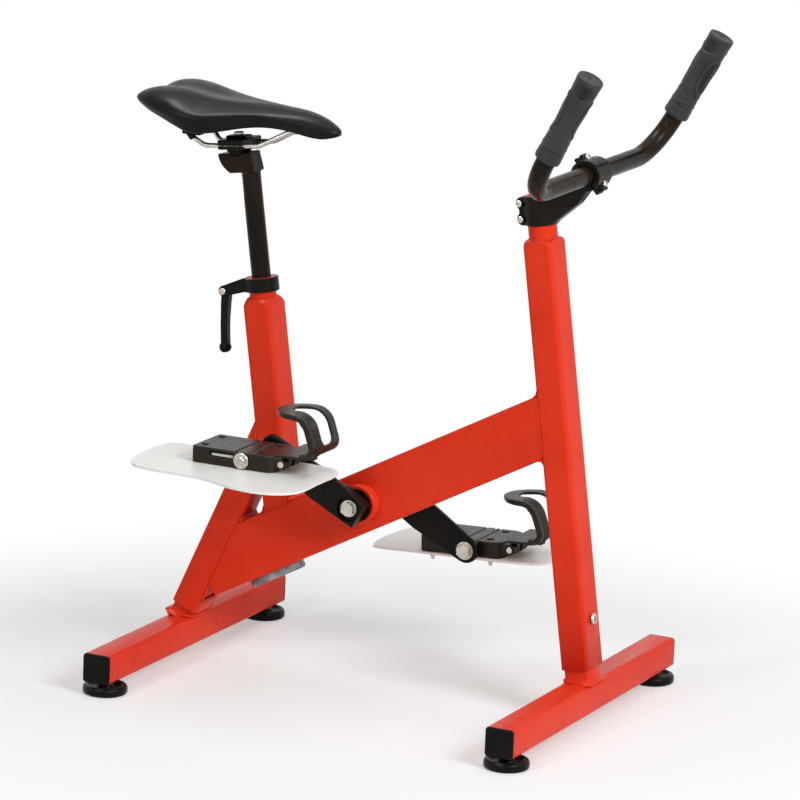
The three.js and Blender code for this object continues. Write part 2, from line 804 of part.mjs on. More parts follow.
function makeStrut() {
  const foot = strutFootGap;
  const head = faceOf(seatTube, -tubeSide / 2, seatGap);
  const tube = loft(
    [
      ringAt(uprightLoop, foot),
      mitredRing(strut, uprightLoop, head),
      mitredRing(strut, uprightBore, head),
      ringAt(uprightBore, foot),
    ],
    true,
  );
  const bolt = rod(baseBoltDiameter + 2 * slipGap, 0, tubeSide).rotateY(-Math.PI / 2);
  return cut(tube, bolt.translate(0, 0, spigotBoltHeight));
}

// The beam's mitre: where a line parallel to its axis meets a plane of the side view.
function alongBeam(plane, offset) {
  const slope = beamSlope * degrees;
  const axis = new THREE.Vector2(Math.cos(slope), Math.sin(slope));
  const side = new THREE.Vector2(-Math.sin(slope), Math.cos(slope));
  const from = new THREE.Vector2(bracketReach, bracketHeight).addScaledVector(side, offset);
  return plane.normal.dot(plane.point.clone().sub(from)) / plane.normal.dot(axis);
}

const strutFront = faceOf(strut, tubeSide / 2, seatGap);
const columnBack = faceOf(column, -tubeSide / 2, seatGap);
const beamRearEnd = alongBeam(strutFront, -beamDepth / 2) + beamEndTrim;

// A rectangular tube between the strut and the column, bored for the bottom bracket.
function makeBeam() {
  const half = beamDepth / 2;
  const outer = roundedLoop(uprightWidth / 2, half, tubeCorner, cornerSteps);
  const inner = roundedLoop(boreHalfWidth, half - tubeWall, boreCorner, cornerSteps);
  const ring = (loop, plane) =>
    loop.map((p) => new THREE.Vector3(alongBeam(plane, p.y), p.x, p.y));
  const tube = loft(
    [ring(outer, strutFront), ring(outer, columnBack), ring(inner, columnBack), ring(inner, strutFront)],
    true,
  );
  const corner = block(beamRearEnd - tubeSide, beamRearEnd, -uprightWidth, uprightWidth, -beamDepth, -half * beamTrimShare);
  const shell = ontoY(rod(shellDiameter + 2 * seatGap, -tubeSide, tubeSide, 0, largeSides));
  const welds = [1, -1].map((side) => beamWeld(side * half));
  return join(cut(tube, corner, shell), ...welds);
}

// The fillet weld where the beam's top or bottom face meets the column.
function beamWeld(offset) {
  const side = Math.sign(offset);
  const width = uprightWidth / 2 - tubeCorner;
  const at = (reach, lift) => {
    const height = offset + side * lift;
    return [alongBeam(columnBack, height) - reach, height];
  };
  const sunk = -tubeWall / 2;
  const middle = weldLeg * weldSeamShare;
  const points = [at(0, sunk), at(0, weldLeg), at(middle, middle), at(weldLeg, 0), at(weldLeg, sunk)];
  const geometry = slab(shapeOf(points), -width, width);
  return geometry;
}

function makeShell() {
  const half = shellLength / 2;
  const outer = shellDiameter / 2;
  const bore = shellBore / 2;
  const profile = [
    [bore, -half],
    [outer - shellBevel, -half],
    [outer, -half + shellBevel],
    [outer, half - shellBevel],
    [outer - shellBevel, half],
    [bore, half],
  ];
  return ontoY(turned([...profile, profile[0]], largeSides));
}

function makeBaseBolt() {
  const face = tubeSide / 2 + seatGap;
  const shank = rod(baseBoltDiameter, boreHalf - tubeWall * 2, face + seatGap, 0, smallSides);
  const head = rod(baseBoltHeadDiameter, face, face + baseBoltHeadHeight, baseBoltHeadHeight / 3, boltSides);
  const socket = hexagon(baseBoltHeadDiameter / 2.5, face + baseBoltHeadHeight / 2, face + 2 * baseBoltHeadHeight);
  return cut(join(shank, head), socket).rotateY(Math.PI / 2);
}

// A cast bar of softer metal under the beam, which corrodes instead of the frame.
function makeAnode() {
  const half = anodeWidth / 2;
  const top = -beamDepth / 2 - seatGap;
  const soft = anodeThickness * anodeSoftShare;
  const corner = half * anodeCornerShare;
  const loop = roundedLoop(anodeLength / 2, half, corner, cornerSteps);
  const inset = roundedLoop(anodeLength / 2 - soft, half - soft, corner - soft, cornerSteps);
  const bar = loft([ringAt(loop, top), ringAt(loop, top - anodeThickness + soft), ringAt(inset, top - anodeThickness)]);
  return bar.translate(beamRearEnd + anodeStart + anodeLength / 2, 0, 0);
}

// Bottom bracket

function makeBearing() {
  const face = shellLength / 2 + seatGap;
  const bore = axleDiameter / 2 + slipGap;
  const profile = [
    [bore, face + bearingFlangeThickness],
    [bore, face - bearingDepth],
    [shellBore / 2 - slipGap, face - bearingDepth],
    [shellBore / 2 - slipGap, face],
    [bearingFlangeDiameter / 2, face],
    [bearingFlangeDiameter / 2, face + bearingFlangeThickness],
  ];
  return turned([...profile, profile[0]], largeSides);
}

const crankRecessFloor = crankOuterFace - crankRecessDepth;
const crankInnerFace = crankOuterFace - crankBossThickness;
const axleEnd = crankOuterFace - axleEndSetback;

function makeAxle() {
  const square = axleSquare / 2;
  const soft = axleSquare / 12;
  const body = rod(axleDiameter, -crankInnerFace, crankInnerFace, 0, roundSides);
  const ends = block(-square, square, -square, square, -axleEnd, axleEnd);
  const bores = [-1, 1].map((side) => {
    const bore = rod(crankBoltShank + 2 * slipGap, 0, crankBoltShankLength + cutOverrun, 0, smallSides);
    const from = side * (axleEnd + cutOverrun);
    return side > 0 ? bore.rotateX(Math.PI).translate(0, 0, from) : bore.translate(0, 0, from);
  });
  const limit = rod(axleSquare * Math.SQRT2 - soft, -axleEnd - soft, axleEnd + soft, 0, roundSides);
  return ontoY(cut(join(body, common(ends, limit)), ...bores));
}

// The crank lies along +X with its outer face away from the bike, towards -Y.
function crankOutline(inset) {
  const tail = -crankEndOverhang + inset;
  const end = crankEndWidth / 2 - inset;
  const middle = crankMiddleWidth / 2 - inset;
  const wide = crankLength * crankMiddleShare;
  const eye = crankEyeDiameter / 2 - inset;
  const run = crankLength - wide;
  const meet = Math.asin(Math.min((middle - eye) / run, 1));
  const start = Math.PI / 2 - meet;
  const points = [[tail, -end], [wide, -middle]];
  for (let i = 0; i <= 8; i += 1) {
    const angle = -start + (2 * start * i) / 8;
    points.push([crankLength + eye * Math.cos(angle), eye * Math.sin(angle)]);
  }
  points.push([wide, middle], [tail, end]);
  return points;
}

function makeCrank() {
  const ringOf = (inset, y) => crankOutline(inset).map(([x, z]) => new THREE.Vector3(x, y, z));
  const outer = -crankOuterFace;
  const inner = outer + crankBladeThickness;
  const blade = loft([
    ringOf(crankBevel, outer),
    ringOf(0, outer + crankBevel),
    ringOf(0, inner - crankBevel / 2),
    ringOf(crankBevel / 2, inner),
  ]);
  const end = crankEndWidth / 2;
  const swell = end + ((crankMiddleWidth - crankEndWidth) / 2) * (crankBossLength / (crankLength * crankMiddleShare));
  const deep = -crankInnerFace;
  const step = inner - crankBevel;
  const bossRing = (y, front) => [
    new THREE.Vector3(-crankEndOverhang, y, -end),
    new THREE.Vector3(front, y, -swell + crankBevel / 2),
    new THREE.Vector3(front, y, swell - crankBevel / 2),
    new THREE.Vector3(-crankEndOverhang, y, end),
  ];
  const boss = loft([bossRing(step, crankBossLength), bossRing(deep, crankBossLength - crankBossRamp)]);
  const hole = axleSquare / 2 + slipGap;
  const square = block(-hole, hole, outer - cutOverrun, deep + cutOverrun, -hole, hole);
  const recess = ontoY(rod(crankRecessDiameter, outer - cutOverrun, outer + crankRecessDepth, 0, largeSides));
  const eye = ontoY(rod(pedalAxleDiameter + 2 * slipGap, outer - cutOverrun, inner + cutOverrun));
  return cut(join(blade, boss), square, recess, eye.translate(crankLength, 0, 0));
}

// The bolt that holds a crank on the axle, its head towards -Y.
function makeCrankBolt() {
  const seat = -crankRecessFloor - seatGap;
  const flange = rod(crankBoltFlangeDiameter, seat - crankBoltFlangeThickness, seat, crankBoltFlangeThickness / 4);
  const head = hexagon(crankBoltAcross, -crankBoltHeadHeight, crankBoltFlangeThickness, 0).translate(
    0,
    0,
    seat - crankBoltFlangeThickness,
  );
  const shank = rod(crankBoltShank, seat - seatGap, seat + crankBoltShankLength, 0, smallSides);
  return ontoY(join(flange, head, shank));
}

// Pedals, made for the right side with the crank towards +Y

const bladeInner = crankOuterFace - crankBladeThickness;
const pedalOuterFace = pedalInnerFace + pedalWidth;

function makePedalAxle() {
  const washerTop = -bladeInner + seatGap;
  const washer = rod(pedalAxleWasherDiameter, washerTop, washerTop + pedalAxleWasherThickness);
  const headFoot = washerTop + pedalAxleWasherThickness;
  const head = hexagon(pedalAxleHeadAcross, headFoot - seatGap, headFoot + pedalAxleHeadHeight, pedalAxleHeadBevel);
  const shaft = rod(pedalAxleDiameter, -pedalOuterFace + seatGap, washerTop + seatGap);
  const bore = rod(
    axleCapStem + 2 * slipGap,
    -pedalOuterFace - cutOverrun,
    -pedalOuterFace + axleCapStemLength + cutOverrun,
    0,
    smallSides,
  );
  return ontoY(cut(join(washer, head, shaft), bore));
}

// The cross-headed screw and washer that keep the pedal on its axle.
function makeAxleCap() {
  const face = -pedalOuterFace - seatGap;
  const disc = rod(axleCapDiameter, face - axleCapThickness, face, axleCapThickness / 4, largeSides);
  const stem = rod(axleCapStem, face - seatGap, face + axleCapStemLength, 0, smallSides);
  const long = axleCapCrossLength / 2;
  const thin = axleCapCrossWidth / 2;
  const outer = face - axleCapThickness;
  const floor = outer + axleCapRecess;
  const slots = [
    block(-long, long, -thin, thin, outer - cutOverrun, floor),
    block(-thin, thin, -long, long, outer - cutOverrun, floor),
  ];
  return ontoY(cut(join(disc, stem), ...slots));
}

// Lugs of the body and of the cage take turns along the pin.
const lugMiddles = [0, 1].map((i) => -pedalOuterFace + lugSetback + lugWidth / 2 + i * lugSpread);
const innerLugMiddle = -pedalInnerFace - lugWidth / 2;

function makePedalBody() {
  const middle = -(pedalInnerFace + pedalOuterFace) / 2;
  const halfWidth = pedalWidth / 2;
  const halfLength = (pedalRearReach + pedalFrontReach) / 2;
  const centre = (pedalFrontReach - pedalRearReach) / 2;
  const loop = pedalPlan(halfLength, halfWidth, 0);
  const inset = pedalPlan(halfLength, halfWidth, pedalEdge);
  const body = loft([
    ringAt(inset, -pedalBottom),
    ringAt(loop, -pedalBottom + pedalEdge),
    ringAt(loop, pedalTop - pedalEdge),
    ringAt(inset, pedalTop),
  ]);
  body.translate(centre, middle, 0);
  const grooves = [-1, 1].map((side) => {
    const x = (side * pedalGrooveSpread) / 2;
    const half = pedalGrooveWidth / 2;
    return block(
      x - half,
      x + half,
      -pedalOuterFace - cutOverrun,
      -pedalInnerFace + cutOverrun,
      pedalTop - pedalGrooveDepth,
      pedalTop + cutOverrun,
    );
  });
  const screws = screwPlaces().flatMap(([x, y]) => [
    rod(pedalScrewHead, pedalTop - pedalScrewHeadDepth, pedalTop + cutOverrun, 0, smallSides).translate(x, y, 0),
    rod(pedalScrewHole, -pedalBottom - cutOverrun, pedalTop, 0, smallSides).translate(x, y, 0),
  ]);
  const slot = block(
    pedalSlotMiddle - pedalSlotLength / 2,
    pedalSlotMiddle + pedalSlotLength / 2,
    -pedalOuterFace - cutOverrun,
    -pedalOuterFace + pedalSlotDepth,
    0,
    pedalSlotHeight,
  );
  const bore = ontoY(rod(pedalAxleDiameter + 2 * slipGap, -pedalOuterFace - cutOverrun, -pedalInnerFace + cutOverrun));
  const lugs = [...lugMiddles, innerLugMiddle].map((y) => makeLug(y, lugWidth, pedalFrontReach - lugRadius));
  return cut(join(body, ...lugs), ...grooves, ...screws, slot, bore, pinHole(-pedalOuterFace, -pedalInnerFace));
}

// The plan of the pedal: small radii behind, large ones in front.
function pedalPlan(halfLength, halfWidth, inset) {
  const round = roundedLoop(halfLength - inset, halfWidth - inset, pedalFrontRadius - inset, cornerSteps);
  const tight = roundedLoop(halfLength - inset, halfWidth - inset, pedalRearRadius - inset, cornerSteps);
  return round.map((p, i) => (p.x > 0 ? p : tight[i]));
}

function screwPlaces() {
  const y = -(pedalInnerFace + pedalOuterFace) / 2;
  const places = [];
  for (const fore of [-1, 1]) {
    for (const side of [-1, 1]) {
      places.push([pedalScrewMiddle + (fore * pedalScrewSpreadLong) / 2, y + (side * pedalScrewSpreadWide) / 2]);
    }
  }
  return places;
}

function makeLug(middle, width, root) {
  const round = ontoY(rod(2 * lugRadius, middle - width / 2, middle + width / 2, 0, roundSides));
  round.translate(lugReach, 0, lugHeight);
  const arm = block(root, lugReach, middle - width / 2, middle + width / 2, lugHeight - lugRadius, lugHeight + lugRadius);
  return join(round, arm);
}

function pinHole(from, to) {
  const hole = ontoY(rod(pinDiameter + 2 * slipGap, from - cutOverrun, to + cutOverrun, 0, smallSides));
  return hole.translate(lugReach, 0, lugHeight);
}

function makePin() {
  const from = -pedalOuterFace + lugSetback - seatGap;
  const shank = rod(pinDiameter, from - seatGap, -pedalInnerFace, 0, smallSides);
  const head = rod(pinHeadDiameter, from - pinHeadThickness, from, pinHeadThickness / 4, smallSides);
  return ontoY(join(shank, head)).translate(lugReach, 0, lugHeight);
}

// The side view of the toe cage as a line of one thickness, from the base plate round the toes.
function cagePath() {
  const v = (x, z) => new THREE.Vector3(x, 0, z);
  const corners = [
    v(cageBaseStart, cageBaseHeight),
    v(cageFrontReach, cageBaseHeight),
    v(cageTopFront, cageTopHeight),
    v(cageTopEnd - cageThickness, cageTopHeight),
  ];
  return roundedPath(corners, [cageBend, cageShoulderBend], 6);
}

function cageBand(path, thickness, y0, y1) {
  const half = cageThickness / 2;
  const side = [];
  const back = [];
  path.forEach((point, i) => {
    const before = path[Math.max(i - 1, 0)];
    const after = path[Math.min(i + 1, path.length - 1)];
    const ahead = after.clone().sub(before).normalize();
    const left = new THREE.Vector3(-ahead.z, 0, ahead.x);
    const outer = point.clone().addScaledVector(left, -half);
    const inner = point.clone().addScaledVector(left, thickness - half);
    side.push([outer.x, outer.z]);
    back.unshift([inner.x, inner.z]);
  });
  return slab(shapeOf([...side, ...back]), y0, y1);
}

function makeToeCage() {
  const middle = -(pedalInnerFace + pedalOuterFace) / 2;
  const y0 = middle - cageWidth / 2;
  const y1 = middle + cageWidth / 2;
  const path = cagePath();
  const band = cageBand(path, cageThickness, y0, y1);
  const riser = path.filter((p) => p.x > cageTopFront - cageThickness && p.z > cageBaseHeight);
  const rib = cageBand(riser, cageRibDepth, y0, y0 + cageRibWidth);
  // The rear end of the top is a half round in plan.
  const radius = cageWidth / 2;
  const plan = new THREE.Shape();
  plan.moveTo(cageFrontReach + radius, y0 - cutOverrun);
  plan.lineTo(cageTopEnd + radius, y0);
  plan.absarc(cageTopEnd + radius, middle, radius, -Math.PI / 2, Math.PI / 2, true);
  plan.lineTo(cageFrontReach + radius, y1 + cutOverrun);
  const tall = cageTopHeight + cutOverrun;
  const outline = new THREE.ExtrudeGeometry(plan, { depth: tall, bevelEnabled: false, curveSegments: 14 });
  const low = block(cageBaseStart, cageFrontReach + radius, y0, y1, 0, cageHoleFloor);
  const sheet = common(join(band, rib), join(outline.translate(0, 0, cageHoleFloor - cageThickness), low));
  // The opening, rounded at both of its ends.
  const hole0 = y0 + cageWideRail;
  const hole1 = hole0 + cageHoleWidth;
  const lift = (cageHoleFloor + cageTopHeight) / 2;
  const holeRound = cageHoleWidth / 3;
  const top = slotCutter(cageHoleRear, cageFrontReach + radius, hole0, hole1, holeRound, lift, tall);
  const front = frontCutter(cageHoleFloor, cageTopHeight + cageHoleWidth, hole0, hole1, holeRound);
  const lugs = [lugMiddles[0], lugMiddles[1]].map((y) => {
    const place = y + lugWidth / 2 + seatGap + cageLugWidth / 2;
    return makeCageLug(place);
  });
  return cut(join(cut(sheet, top, front), ...lugs), pinHole(-pedalOuterFace, -pedalInnerFace));
}

function slotCutter(x0, x1, y0, y1, radius, z0, z1) {
  const loop = roundedLoop((x1 - x0) / 2, (y1 - y0) / 2, radius, cornerSteps);
  const place = new THREE.Vector3((x0 + x1) / 2, (y0 + y1) / 2, 0);
  return loft([ringAt(loop, z0), ringAt(loop, z1)]).translate(place.x, place.y, 0);
}

function frontCutter(z0, z1, y0, y1, radius) {
  const loop = roundedLoop((z1 - z0) / 2, (y1 - y0) / 2, radius, cornerSteps);
  const from = (cageTopFront + cageTopEnd) / 2 + cageShoulderBend;
  const body = loft([ringAt(loop, 0), ringAt(loop, cageFrontReach)]);
  return body.rotateY(Math.PI / 2).translate(from, (y0 + y1) / 2, (z0 + z1) / 2);
}

// A lug that hangs from the base plate onto the pin.
function makeCageLug(middle) {
  const y0 = middle - cageLugWidth / 2;
  const y1 = middle + cageLugWidth / 2;
  const round = ontoY(rod(2 * lugRadius, y0, y1, 0, roundSides)).translate(lugReach, 0, lugHeight);
  const hanger = block(lugReach - lugRadius / 2, lugReach + lugRadius, y0, y1, lugHeight, cageBaseHeight);
  return join(round, hanger);
}

// The plan of the water plate, as shares of its reach behind and ahead of the axle and of its width.
const plateOutlineShares = [
  [-1.0, 0.12],
  [-0.93, 0.0],
  [0.6, 0.0],
  [0.95, 0.1],
  [1.0, 0.5],
  [0.98, 0.86],
  [0.7, 1.0],
  [0.25, 0.98],
  [-0.12, 0.87],
  [-0.7, 0.83],
  [-0.9, 0.76],
  [-1.0, 0.5],
];

function makeWaterPlate() {
  const points = plateOutlineShares.map(([along, across]) => {
    const x = along < 0 ? along * plateRearReach : along * plateFrontReach;
    return new THREE.Vector3(x, -plateInnerEdge - across * plateWidth, 0);
  });
  const curve = new THREE.CatmullRomCurve3(points, true, "centripetal");
  const outline = curve.getPoints(44).slice(0, -1);
  const shape = new THREE.Shape(outline.map((p) => new THREE.Vector2(p.x, Math.min(p.y, -plateInnerEdge))));
  const top = -pedalBottom - seatGap;
  const plate = new THREE.ExtrudeGeometry(shape, { depth: plateThickness, bevelEnabled: false });
  plate.translate(0, 0, top - plateThickness);
  const holes = screwPlaces().map(([x, y]) =>
    rod(pedalScrewHole, top - plateThickness - cutOverrun, top + cutOverrun, 0, smallSides).translate(x, y, 0),
  );
  return cut(plate, ...holes);
}

// Seat post, its collar and the saddle clamp

const seatTop = alongLean(seatTube, columnLean, seatTubeTopHeight);
const collarMiddle = seatTop - collarHeight / 2;
const postHead = seatTop + postExposed;

function makeCollar() {
  const inner = seatNeckDiameter / 2 + slipGap;
  const outer = inner + collarWall;
  const half = collarHeight / 2;
  const ring = pipe(2 * outer, 2 * inner, -half, half, largeSides);
  const profile = new THREE.Shape();
  const tip = earTipRadius;
  profile.moveTo(-inner, half);
  profile.lineTo(-outer, half);
  profile.lineTo(-earReach, -earDrop + tip);
  profile.absarc(-earReach, -earDrop, tip, Math.PI / 2, (3 * Math.PI) / 2, false);
  profile.lineTo(-outer, -half);
  profile.lineTo(-inner, -half);
  const ears = slab(profile, -earWidth / 2, earWidth / 2, 8);
  const gapBetween = block(-earReach - 2 * tip, -outer - seatGap, -earSlot / 2, earSlot / 2, -collarHeight, collarHeight);
  const slot = block(-outer - cutOverrun, 0, -seatSlotWidth / 2, seatSlotWidth / 2, -collarHeight, collarHeight);
  const bore = rod(2 * inner, -collarHeight, collarHeight, 0, largeSides);
  const pin = ontoY(rod(leverPinDiameter + 2 * slipGap, -earWidth, earWidth, 0, smallSides)).translate(-earReach, 0, -earDrop);
  return cut(join(ring, ears), bore, gapBetween, slot, pin);
}

// The lever hangs from its pin; the pin is the origin here and the lever points down.
function makeLever() {
  const half = leverWidth / 2;
  const shape = new THREE.Shape();
  const thick = leverThickness / 2;
  const tip = -leverLength + leverEndRadius;
  shape.absarc(0, 0, leverHubRadius, 0, Math.PI, false);
  shape.quadraticCurveTo(-thick - leverBow / 2, tip / 2, -thick, tip + leverEndRadius);
  shape.absarc(0, tip, leverEndRadius, Math.PI * 0.8, Math.PI * 2.2, false);
  shape.quadraticCurveTo(thick - leverBow / 2, tip / 2, leverHubRadius, 0);
  const body = slab(shape, -half, half, 8);
  const pin = ontoY(rod(leverPinDiameter + 2 * slipGap, -leverWidth, leverWidth, 0, smallSides));
  return cut(body, pin);
}

function makeLeverPin() {
  const half = earWidth / 2;
  const shank = rod(leverPinDiameter, -half - seatGap, half - seatGap, 0, smallSides);
  const head = rod(leverPinHead, -half - seatGap - leverPinHeadThickness, -half - seatGap, leverPinHeadThickness / 4, smallSides);
  return ontoY(join(shank, head));
}

const cradleHeight = postHead + headHeight;

// A tube with a forged head that carries the clamp behind its axis.
function makeSeatPost() {
  const outer = postDiameter / 2;
  const foot = seatTop - postInserted;
  const tube = pipe(postDiameter, postDiameter - 2 * postWall, foot, postHead, roundSides);
  const cap = rod(postDiameter, postHead - postWall, postHead + postWall, 0, roundSides);
  const half = headWidth / 2;
  const profile = new THREE.Shape();
  const rear = -headSetback - cradleLength / 2;
  const front = -headSetback + cradleLength / 2 - headFrontTrim;
  const seatTopEdge = cradleHeight - clampLowerThickness;
  profile.moveTo(-outer, postHead);
  profile.lineTo(outer, postHead);
  profile.lineTo(front, seatTopEdge);
  profile.lineTo(rear, seatTopEdge);
  profile.quadraticCurveTo(rear, postHead + headHeight * (1 - headLobeShare), rear * headLobeShare, postHead);
  const head = slab(profile, -half, half, 6);
  // The clamp's seat is a round hollow across the head.
  const seat = ontoY(rod(2 * cradleRadius, -headWidth, headWidth, 0, largeSides));
  const place = clampCentre();
  // The bolt passes a slot long enough for the tilt; its nut stands in a pocket below.
  const drop = cradleRadius + cradleFloor;
  const middle = place.x - drop * Math.sin((columnLean - railTilt) * degrees);
  const long = clampBoltDiameter / 2 + slipGap + tiltRoom;
  const wide = clampBoltDiameter / 2 + slipGap;
  const slot = block(middle - long, middle + long, -wide, wide, postHead, cradleHeight + headHeight);
  const pocketLong = clampNutAcross / 2 / Math.cos(sixth / 2) + tiltRoom;
  const pocketWide = clampNutAcross / 2 + 2 * slipGap;
  const ceiling = ontoY(rod(2 * drop, -headWidth, headWidth, 0, largeSides)).translate(place.x, 0, place.z);
  const box = block(
    middle - pocketLong,
    middle + pocketLong,
    -pocketWide,
    pocketWide,
    postHead - headHeight,
    place.z - cradleRadius,
  );
  const pocket = cut(box, ceiling);
  return cut(join(tube, cap, head), seat.translate(place.x, 0, place.z), slot, pocket);
}

// The middle of the rails' flat part, on the post's group: the clamp tilts about it.
function clampCentre() {
  return new THREE.Vector3(-headSetback, 0, cradleHeight + cradleRadius * cradleRiseShare);
}

const railGroove = railDiameter / 2 + seatGap;
const railNoseReach = railFrontReach + railNoseStraight + railFrontSpacing / 2;

// The lower jaw rocks on the post's head and carries both rails.
function makeLowerJaw() {
  const radius = cradleRadius - seatGap;
  const rocker = ontoY(rod(2 * radius, -headWidth / 2, headWidth / 2, 0, largeSides));
  const above = block(-2 * radius, 2 * radius, -headWidth, headWidth, 0, 2 * radius);
  const plate = block(-clampLength / 2, clampLength / 2, -clampWidth / 2, clampWidth / 2, -clampLowerThickness, -seatGap / 2);
  return cut(join(cut(rocker, above), plate), ...railGrooves(), clampBoltHole());
}

function makeUpperJaw() {
  const plate = block(-clampLength / 2, clampLength / 2, -clampWidth / 2, clampWidth / 2, seatGap / 2, clampUpperThickness);
  const narrow = clampLength / 2 - clampUpperThickness / 2;
  const crown = block(-narrow, narrow, -headWidth / 3, headWidth / 3, clampUpperThickness - seatGap, clampUpperThickness * clampCrownShare);
  return cut(join(plate, crown), ...railGrooves(), clampBoltHole());
}

function railGrooves() {
  return [-1, 1].map((side) =>
    rod(2 * railGroove, -clampLength, clampLength, 0, smallSides).rotateY(Math.PI / 2).translate(0, (side * railSpacing) / 2, 0),
  );
}

function clampBoltHole() {
  return rod(clampBoltDiameter + 2 * slipGap, -2 * cradleRadius, 2 * cradleRadius, 0, smallSides);
}

function makeClampBolt() {
  const top = clampUpperThickness * clampCrownShare + seatGap;
  const nutTop = -cradleRadius - cradleFloor - 2 * seatGap;
  const foot = nutTop - clampNutHeight;
  const shank = rod(clampBoltDiameter, foot - seatGap, top + seatGap, 0, smallSides);
  const head = rod(clampBoltHead, top, top + clampBoltHeadHeight, clampBoltHeadHeight / 4);
  const socket = hexagon(clampBoltHead / 2, top + clampBoltHeadHeight / 2, top + 2 * clampBoltHeadHeight);
  return cut(join(shank, head, hexagon(clampNutAcross, foot, nutTop)), socket);
}

// One bent rod: up into the shell behind, flat through the clamp, and round under the nose.
function makeRails() {
  const v = (x, y, z) => new THREE.Vector3(x, y, z);
  const side = (s) => [
    v(railRearReach, (s * railRearSpacing) / 2, railRearRise),
    v(railFlatStart - railDiameter, (s * railSpacing) / 2, 0),
    v(railFlatEnd + railDiameter, (s * railSpacing) / 2, 0),
    v(railFrontReach, (s * railFrontSpacing) / 2, railFrontRise),
  ];
  const nose = railNoseReach;
  const corners = [
    ...side(-1),
    v(nose, -railFrontSpacing / 2, railFrontRise),
    v(nose, railFrontSpacing / 2, railFrontRise),
    ...side(1).reverse(),
  ];
  const small = railDiameter * 2;
  const turn = railFrontSpacing / 2 - seatGap;
  const radii = [small, small, small / 2, turn, turn, small / 2, small, small];
  const path = roundedPath(corners, radii, 3);
  return loft(sweepRings(path, circleLoop(railDiameter / 2, 2), new THREE.Vector3(0, 0, 1)));
}

// Saddle: sections across it, each a closed loop, from the tail to the nose

function saddleValue(shares, place) {
  const stations = saddleStationShares;
  let i = 0;
  while (i < stations.length - 2 && place > stations[i + 1]) i += 1;
  const t = (place - stations[i]) / (stations[i + 1] - stations[i]);
  const eased = t * t * (3 - 2 * t);
  return shares[i] + (shares[i + 1] - shares[i]) * (0.5 * t + 0.5 * eased);
}

// Half of a section's height line, from the middle out: a channel between two lobes.
function saddleTop(place, across) {
  const crest = saddleHeight * saddleValue(saddleCrestShares, place);
  const seam = saddleHeight * saddleValue(saddleSeamShares, place);
  const half = saddleHalfWidth * saddleValue(saddleWidthShares, place);
  const lobe = Math.max(0, 1 - place / channelEndShare);
  const fade = Math.exp(-((across * half) ** 2) / (channelWidth / 2) ** 2);
  const lobeRise = channelDepth * lobe * fade;
  const side = Math.max(0, (across - lobePlaceShare * lobe) / (1 - lobePlaceShare * lobe));
  const fall = 1 - Math.sqrt(Math.max(0, 1 - side ** 2.4));
  return crest - lobeRise - (crest - seam) * fall;
}

const saddleRows = 9; // points on half of a section's top line
const saddleSections = 19;
const shellSkipTail = 3; // sections of the cover that the shell stops short of, behind
const shellSkipNose = 4; // and in front

function saddlePlaces() {
  return Array.from({ length: saddleSections }, (_, i) => (1 - Math.cos((i * Math.PI) / (saddleSections - 1))) / 2);
}

function saddleUnderside(place) {
  const skirt = saddleHeight * saddleValue(saddleSkirtShares, place);
  const seam = saddleHeight * saddleValue(saddleSeamShares, place);
  return skirt + (seam - skirt) * undersideShare;
}

function coverSection(place) {
  const x = place * saddleLength;
  const half = saddleHalfWidth * saddleValue(saddleWidthShares, place);
  const skirt = saddleHeight * saddleValue(saddleSkirtShares, place);
  const under = saddleUnderside(place);
  const lip = Math.min(skirtThickness, half / 4);
  const foot = half - Math.min(skirtDraw, half * skirtDrawShare);
  const line = [];
  for (let i = 0; i <= saddleRows; i += 1) {
    const across = Math.sin((i / saddleRows) * (Math.PI / 2));
    line.push([across * half, saddleTop(place, across)]);
  }
  line.push([(half + foot) / 2, (skirt + saddleTop(place, 1)) / 2], [foot, skirt]);
  line.push([foot - lip, skirt], [foot - lip, under]);
  const left = line.map(([y, z]) => new THREE.Vector3(x, y, z));
  const right = line
    .slice(1)
    .reverse()
    .map(([y, z]) => new THREE.Vector3(x, -y, z));
  return [...left, ...right];
}

function makeCover() {
  return loft(saddlePlaces().map(coverSection));
}

function makeShellPlate() {
  const rings = saddlePlaces().slice(shellSkipTail, -shellSkipNose).map((place) => {
    const x = place * saddleLength;
    const half = saddleHalfWidth * saddleValue(saddleWidthShares, place);
    const lip = Math.min(skirtThickness, half / 4);
    const wide = half - Math.min(skirtDraw, half * skirtDrawShare) - lip - shellGap;
    const top = saddleUnderside(place) - shellGap;
    return [
      new THREE.Vector3(x, -wide, top),
      new THREE.Vector3(x, wide, top),
      new THREE.Vector3(x, wide, top - shellThickness),
      new THREE.Vector3(x, -wide, top - shellThickness),
    ];
  });
  return loft(rings);
}

function lowestUnderside(from, to) {
  return Math.min(...[from, (from + to) / 2, to].map((x) => saddleUnderside(x / saddleLength)));
}

// A place of the tilted rails, seen from the saddle's level frame.
function onSaddle(reach, rise) {
  const tilt = railTilt * degrees;
  const x = reach * Math.cos(tilt) - rise * Math.sin(tilt);
  const z = reach * Math.sin(tilt) + rise * Math.cos(tilt);
  return new THREE.Vector2(x + saddleRearOverhang, z - saddleBase);
}

